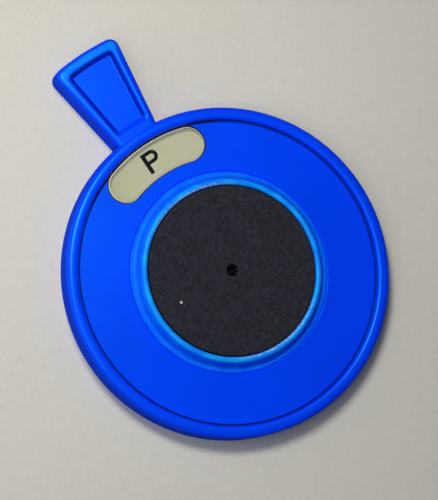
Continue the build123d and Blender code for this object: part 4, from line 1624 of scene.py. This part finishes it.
@dataclass
class Studio:
    """Pale floor, soft light from beyond the tab and a camera that looks down on the pad's face."""

    tilt: float = math.radians(16.6)  # camera's lean from straight above
    lean_towards: float = math.radians(174.8)  # direction that it leans to, from +X
    roll: float = math.radians(-34.3)  # picture's right before the lean, from +X
    distance: float = 861.8
    lens: float = 172.8
    sensor: float = 36.0
    aside: Point = (-3.84, 7.83)  # camera's place beside the plate's centre, along its own right and up
    floor_half: float = 2500.0
    bright_side: tuple[float, float, float] = (-0.7, 0.62, 0.3)
    bright: float = 0.26
    dim: float = 0.06

    def camera(self) -> None:
        """Place the camera."""
        sideways, up = polar(math.sin(self.tilt), self.lean_towards), math.cos(self.tilt)
        back = Vector((*sideways, up))
        swing = Vector((0, 0, 1)).rotation_difference(back)
        right = swing @ Vector((*polar(1, self.roll), 0))
        above = back.cross(right)
        centre = Vector((0, 0, top("window_lens")))
        eye = centre + back * self.distance + right * self.aside[0] + above * self.aside[1]
        data = bpy.data.cameras.new("camera")
        data.lens = self.lens
        data.sensor_width = self.sensor
        data.clip_end = 20
        viewer = bpy.data.objects.new("camera", data)
        bpy.context.scene.collection.objects.link(viewer)
        turn = Matrix((right, above, back)).transposed().to_4x4()
        viewer.matrix_world = Matrix.Translation(eye * MM) @ turn
        bpy.context.scene.camera = viewer

    def floor(self) -> None:
        """Lay the floor that the disc rests on."""
        half = self.floor_half
        plan = rectangle((-half, -half), (half, half))
        ground = stacked("floor", [(plan, -5.0), (plan, -0.02)])
        ground.data.materials.append(self.paper())

    def paper(self) -> Material:
        """Pale matt paper, held darker for mirrored rays so that the disc's walls keep their colour."""
        made, tree, shader = new_material("pale paper", {"Roughness": 0.95, "Specular IOR Level": 0.1})
        place = add_node(tree, "ShaderNodeTexCoord").outputs["Object"]
        mottle = add_node(tree, "ShaderNodeTexNoise", {
            "Vector": place, "Scale": per_metre(2.5), "Detail": 5.0, "Roughness": 0.7,
        }).outputs[0]
        tint = add_node(tree, "ShaderNodeMix", {
            "Factor": mottle, 6: linear("cfcec9"), 7: linear("bdbdba"),
        }, data_type="RGBA").outputs[2]
        ray = add_node(tree, "ShaderNodeLightPath").outputs["Is Glossy Ray"]
        seen = add_node(tree, "ShaderNodeMix", {
            "Factor": ray, 6: tint, 7: linear("12407c"),
        }, data_type="RGBA").outputs[2]
        tree.links.new(seen, shader.inputs["Base Color"])
        return made

    def room(self) -> World:
        """Soft room light, brighter on the side that the key light comes from."""
        world = bpy.data.worlds.new("soft room")
        world.use_nodes = True
        tree = world.node_tree
        background = tree.nodes["Background"]
        direction = add_node(tree, "ShaderNodeTexCoord").outputs["Generated"]
        across = add_node(tree, "ShaderNodeVectorMath", {
            0: direction, 1: Vector(self.bright_side).normalized(),
        }, operation="DOT_PRODUCT").outputs["Value"]
        strength = add_node(tree, "ShaderNodeMapRange", {
            "Value": across, "From Min": -0.5, "From Max": 0.9, "To Min": self.dim, "To Max": self.bright,
        }).outputs[0]
        background.inputs["Color"].default_value = linear("dfe6fa")
        tree.links.new(strength, background.inputs["Strength"])
        return world

    def lamp(
        self, name: str, towards: Sequence[float], away: float, size: Point, power: float, colour: str
    ) -> None:
        """Hang one soft rectangular light that faces the disc.

        Args:
            name: Name of the light.
            towards: Direction from the disc to the light.
            away: Its distance.
            size: Width and height of its face.
            power: Its power in watts.
            colour: Colour of its light.
        """
        data = bpy.data.lights.new(name, "AREA")
        data.shape = "RECTANGLE"
        data.size, data.size_y = (side * MM for side in size)
        data.energy = power
        data.color = linear(colour)[:3]
        light = bpy.data.objects.new(name, data)
        bpy.context.scene.collection.objects.link(light)
        direction = Vector(towards).normalized()
        light.location = direction * away * MM
        light.rotation_mode = "QUATERNION"
        light.rotation_quaternion = direction.to_track_quat("Z", "Y")

    def build(self) -> None:
        """Set up camera, floor, lights and the colour transform."""
        scene = bpy.context.scene
        scene.view_settings.view_transform = "Standard"
        self.camera()
        self.floor()
        scene.world = self.room()
        # towards the lamp, distance, size, power, colour: the near key falls off across the floor
        self.lamp("key", (-0.05, 0.395, 0.918), 410, (100, 100), 1.22, "fffaea")
        self.lamp("fill", (-0.45, 0.10, 0.885), 480, (250, 250), 0.46, "fbfcff")
        self.lamp("side", (-0.728, 0.618, 0.32), 450, (400, 250), 0.35, "fff8ea")


def main() -> None:
    """Build the whole disc round its frame."""
    logging.basicConfig(level=logging.INFO, format="%(name)s: %(message)s")
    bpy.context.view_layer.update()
    palette = Palette()
    housing, hub = FrontHousing(), Hub()
    housing.build(palette)
    Lens(Side.FRONT).build(palette)
    Lens(Side.REAR).build(palette)
    RearCover().build(housing, palette)
    hub.build(palette)
    MountingPad().build(palette)
    Dial().build(palette)
    ClickStop().build(palette)
    Bearing().build(palette)
    Fasteners().build(housing, hub, palette)
    Studio().build()


if __name__ == "__main__":
    main()
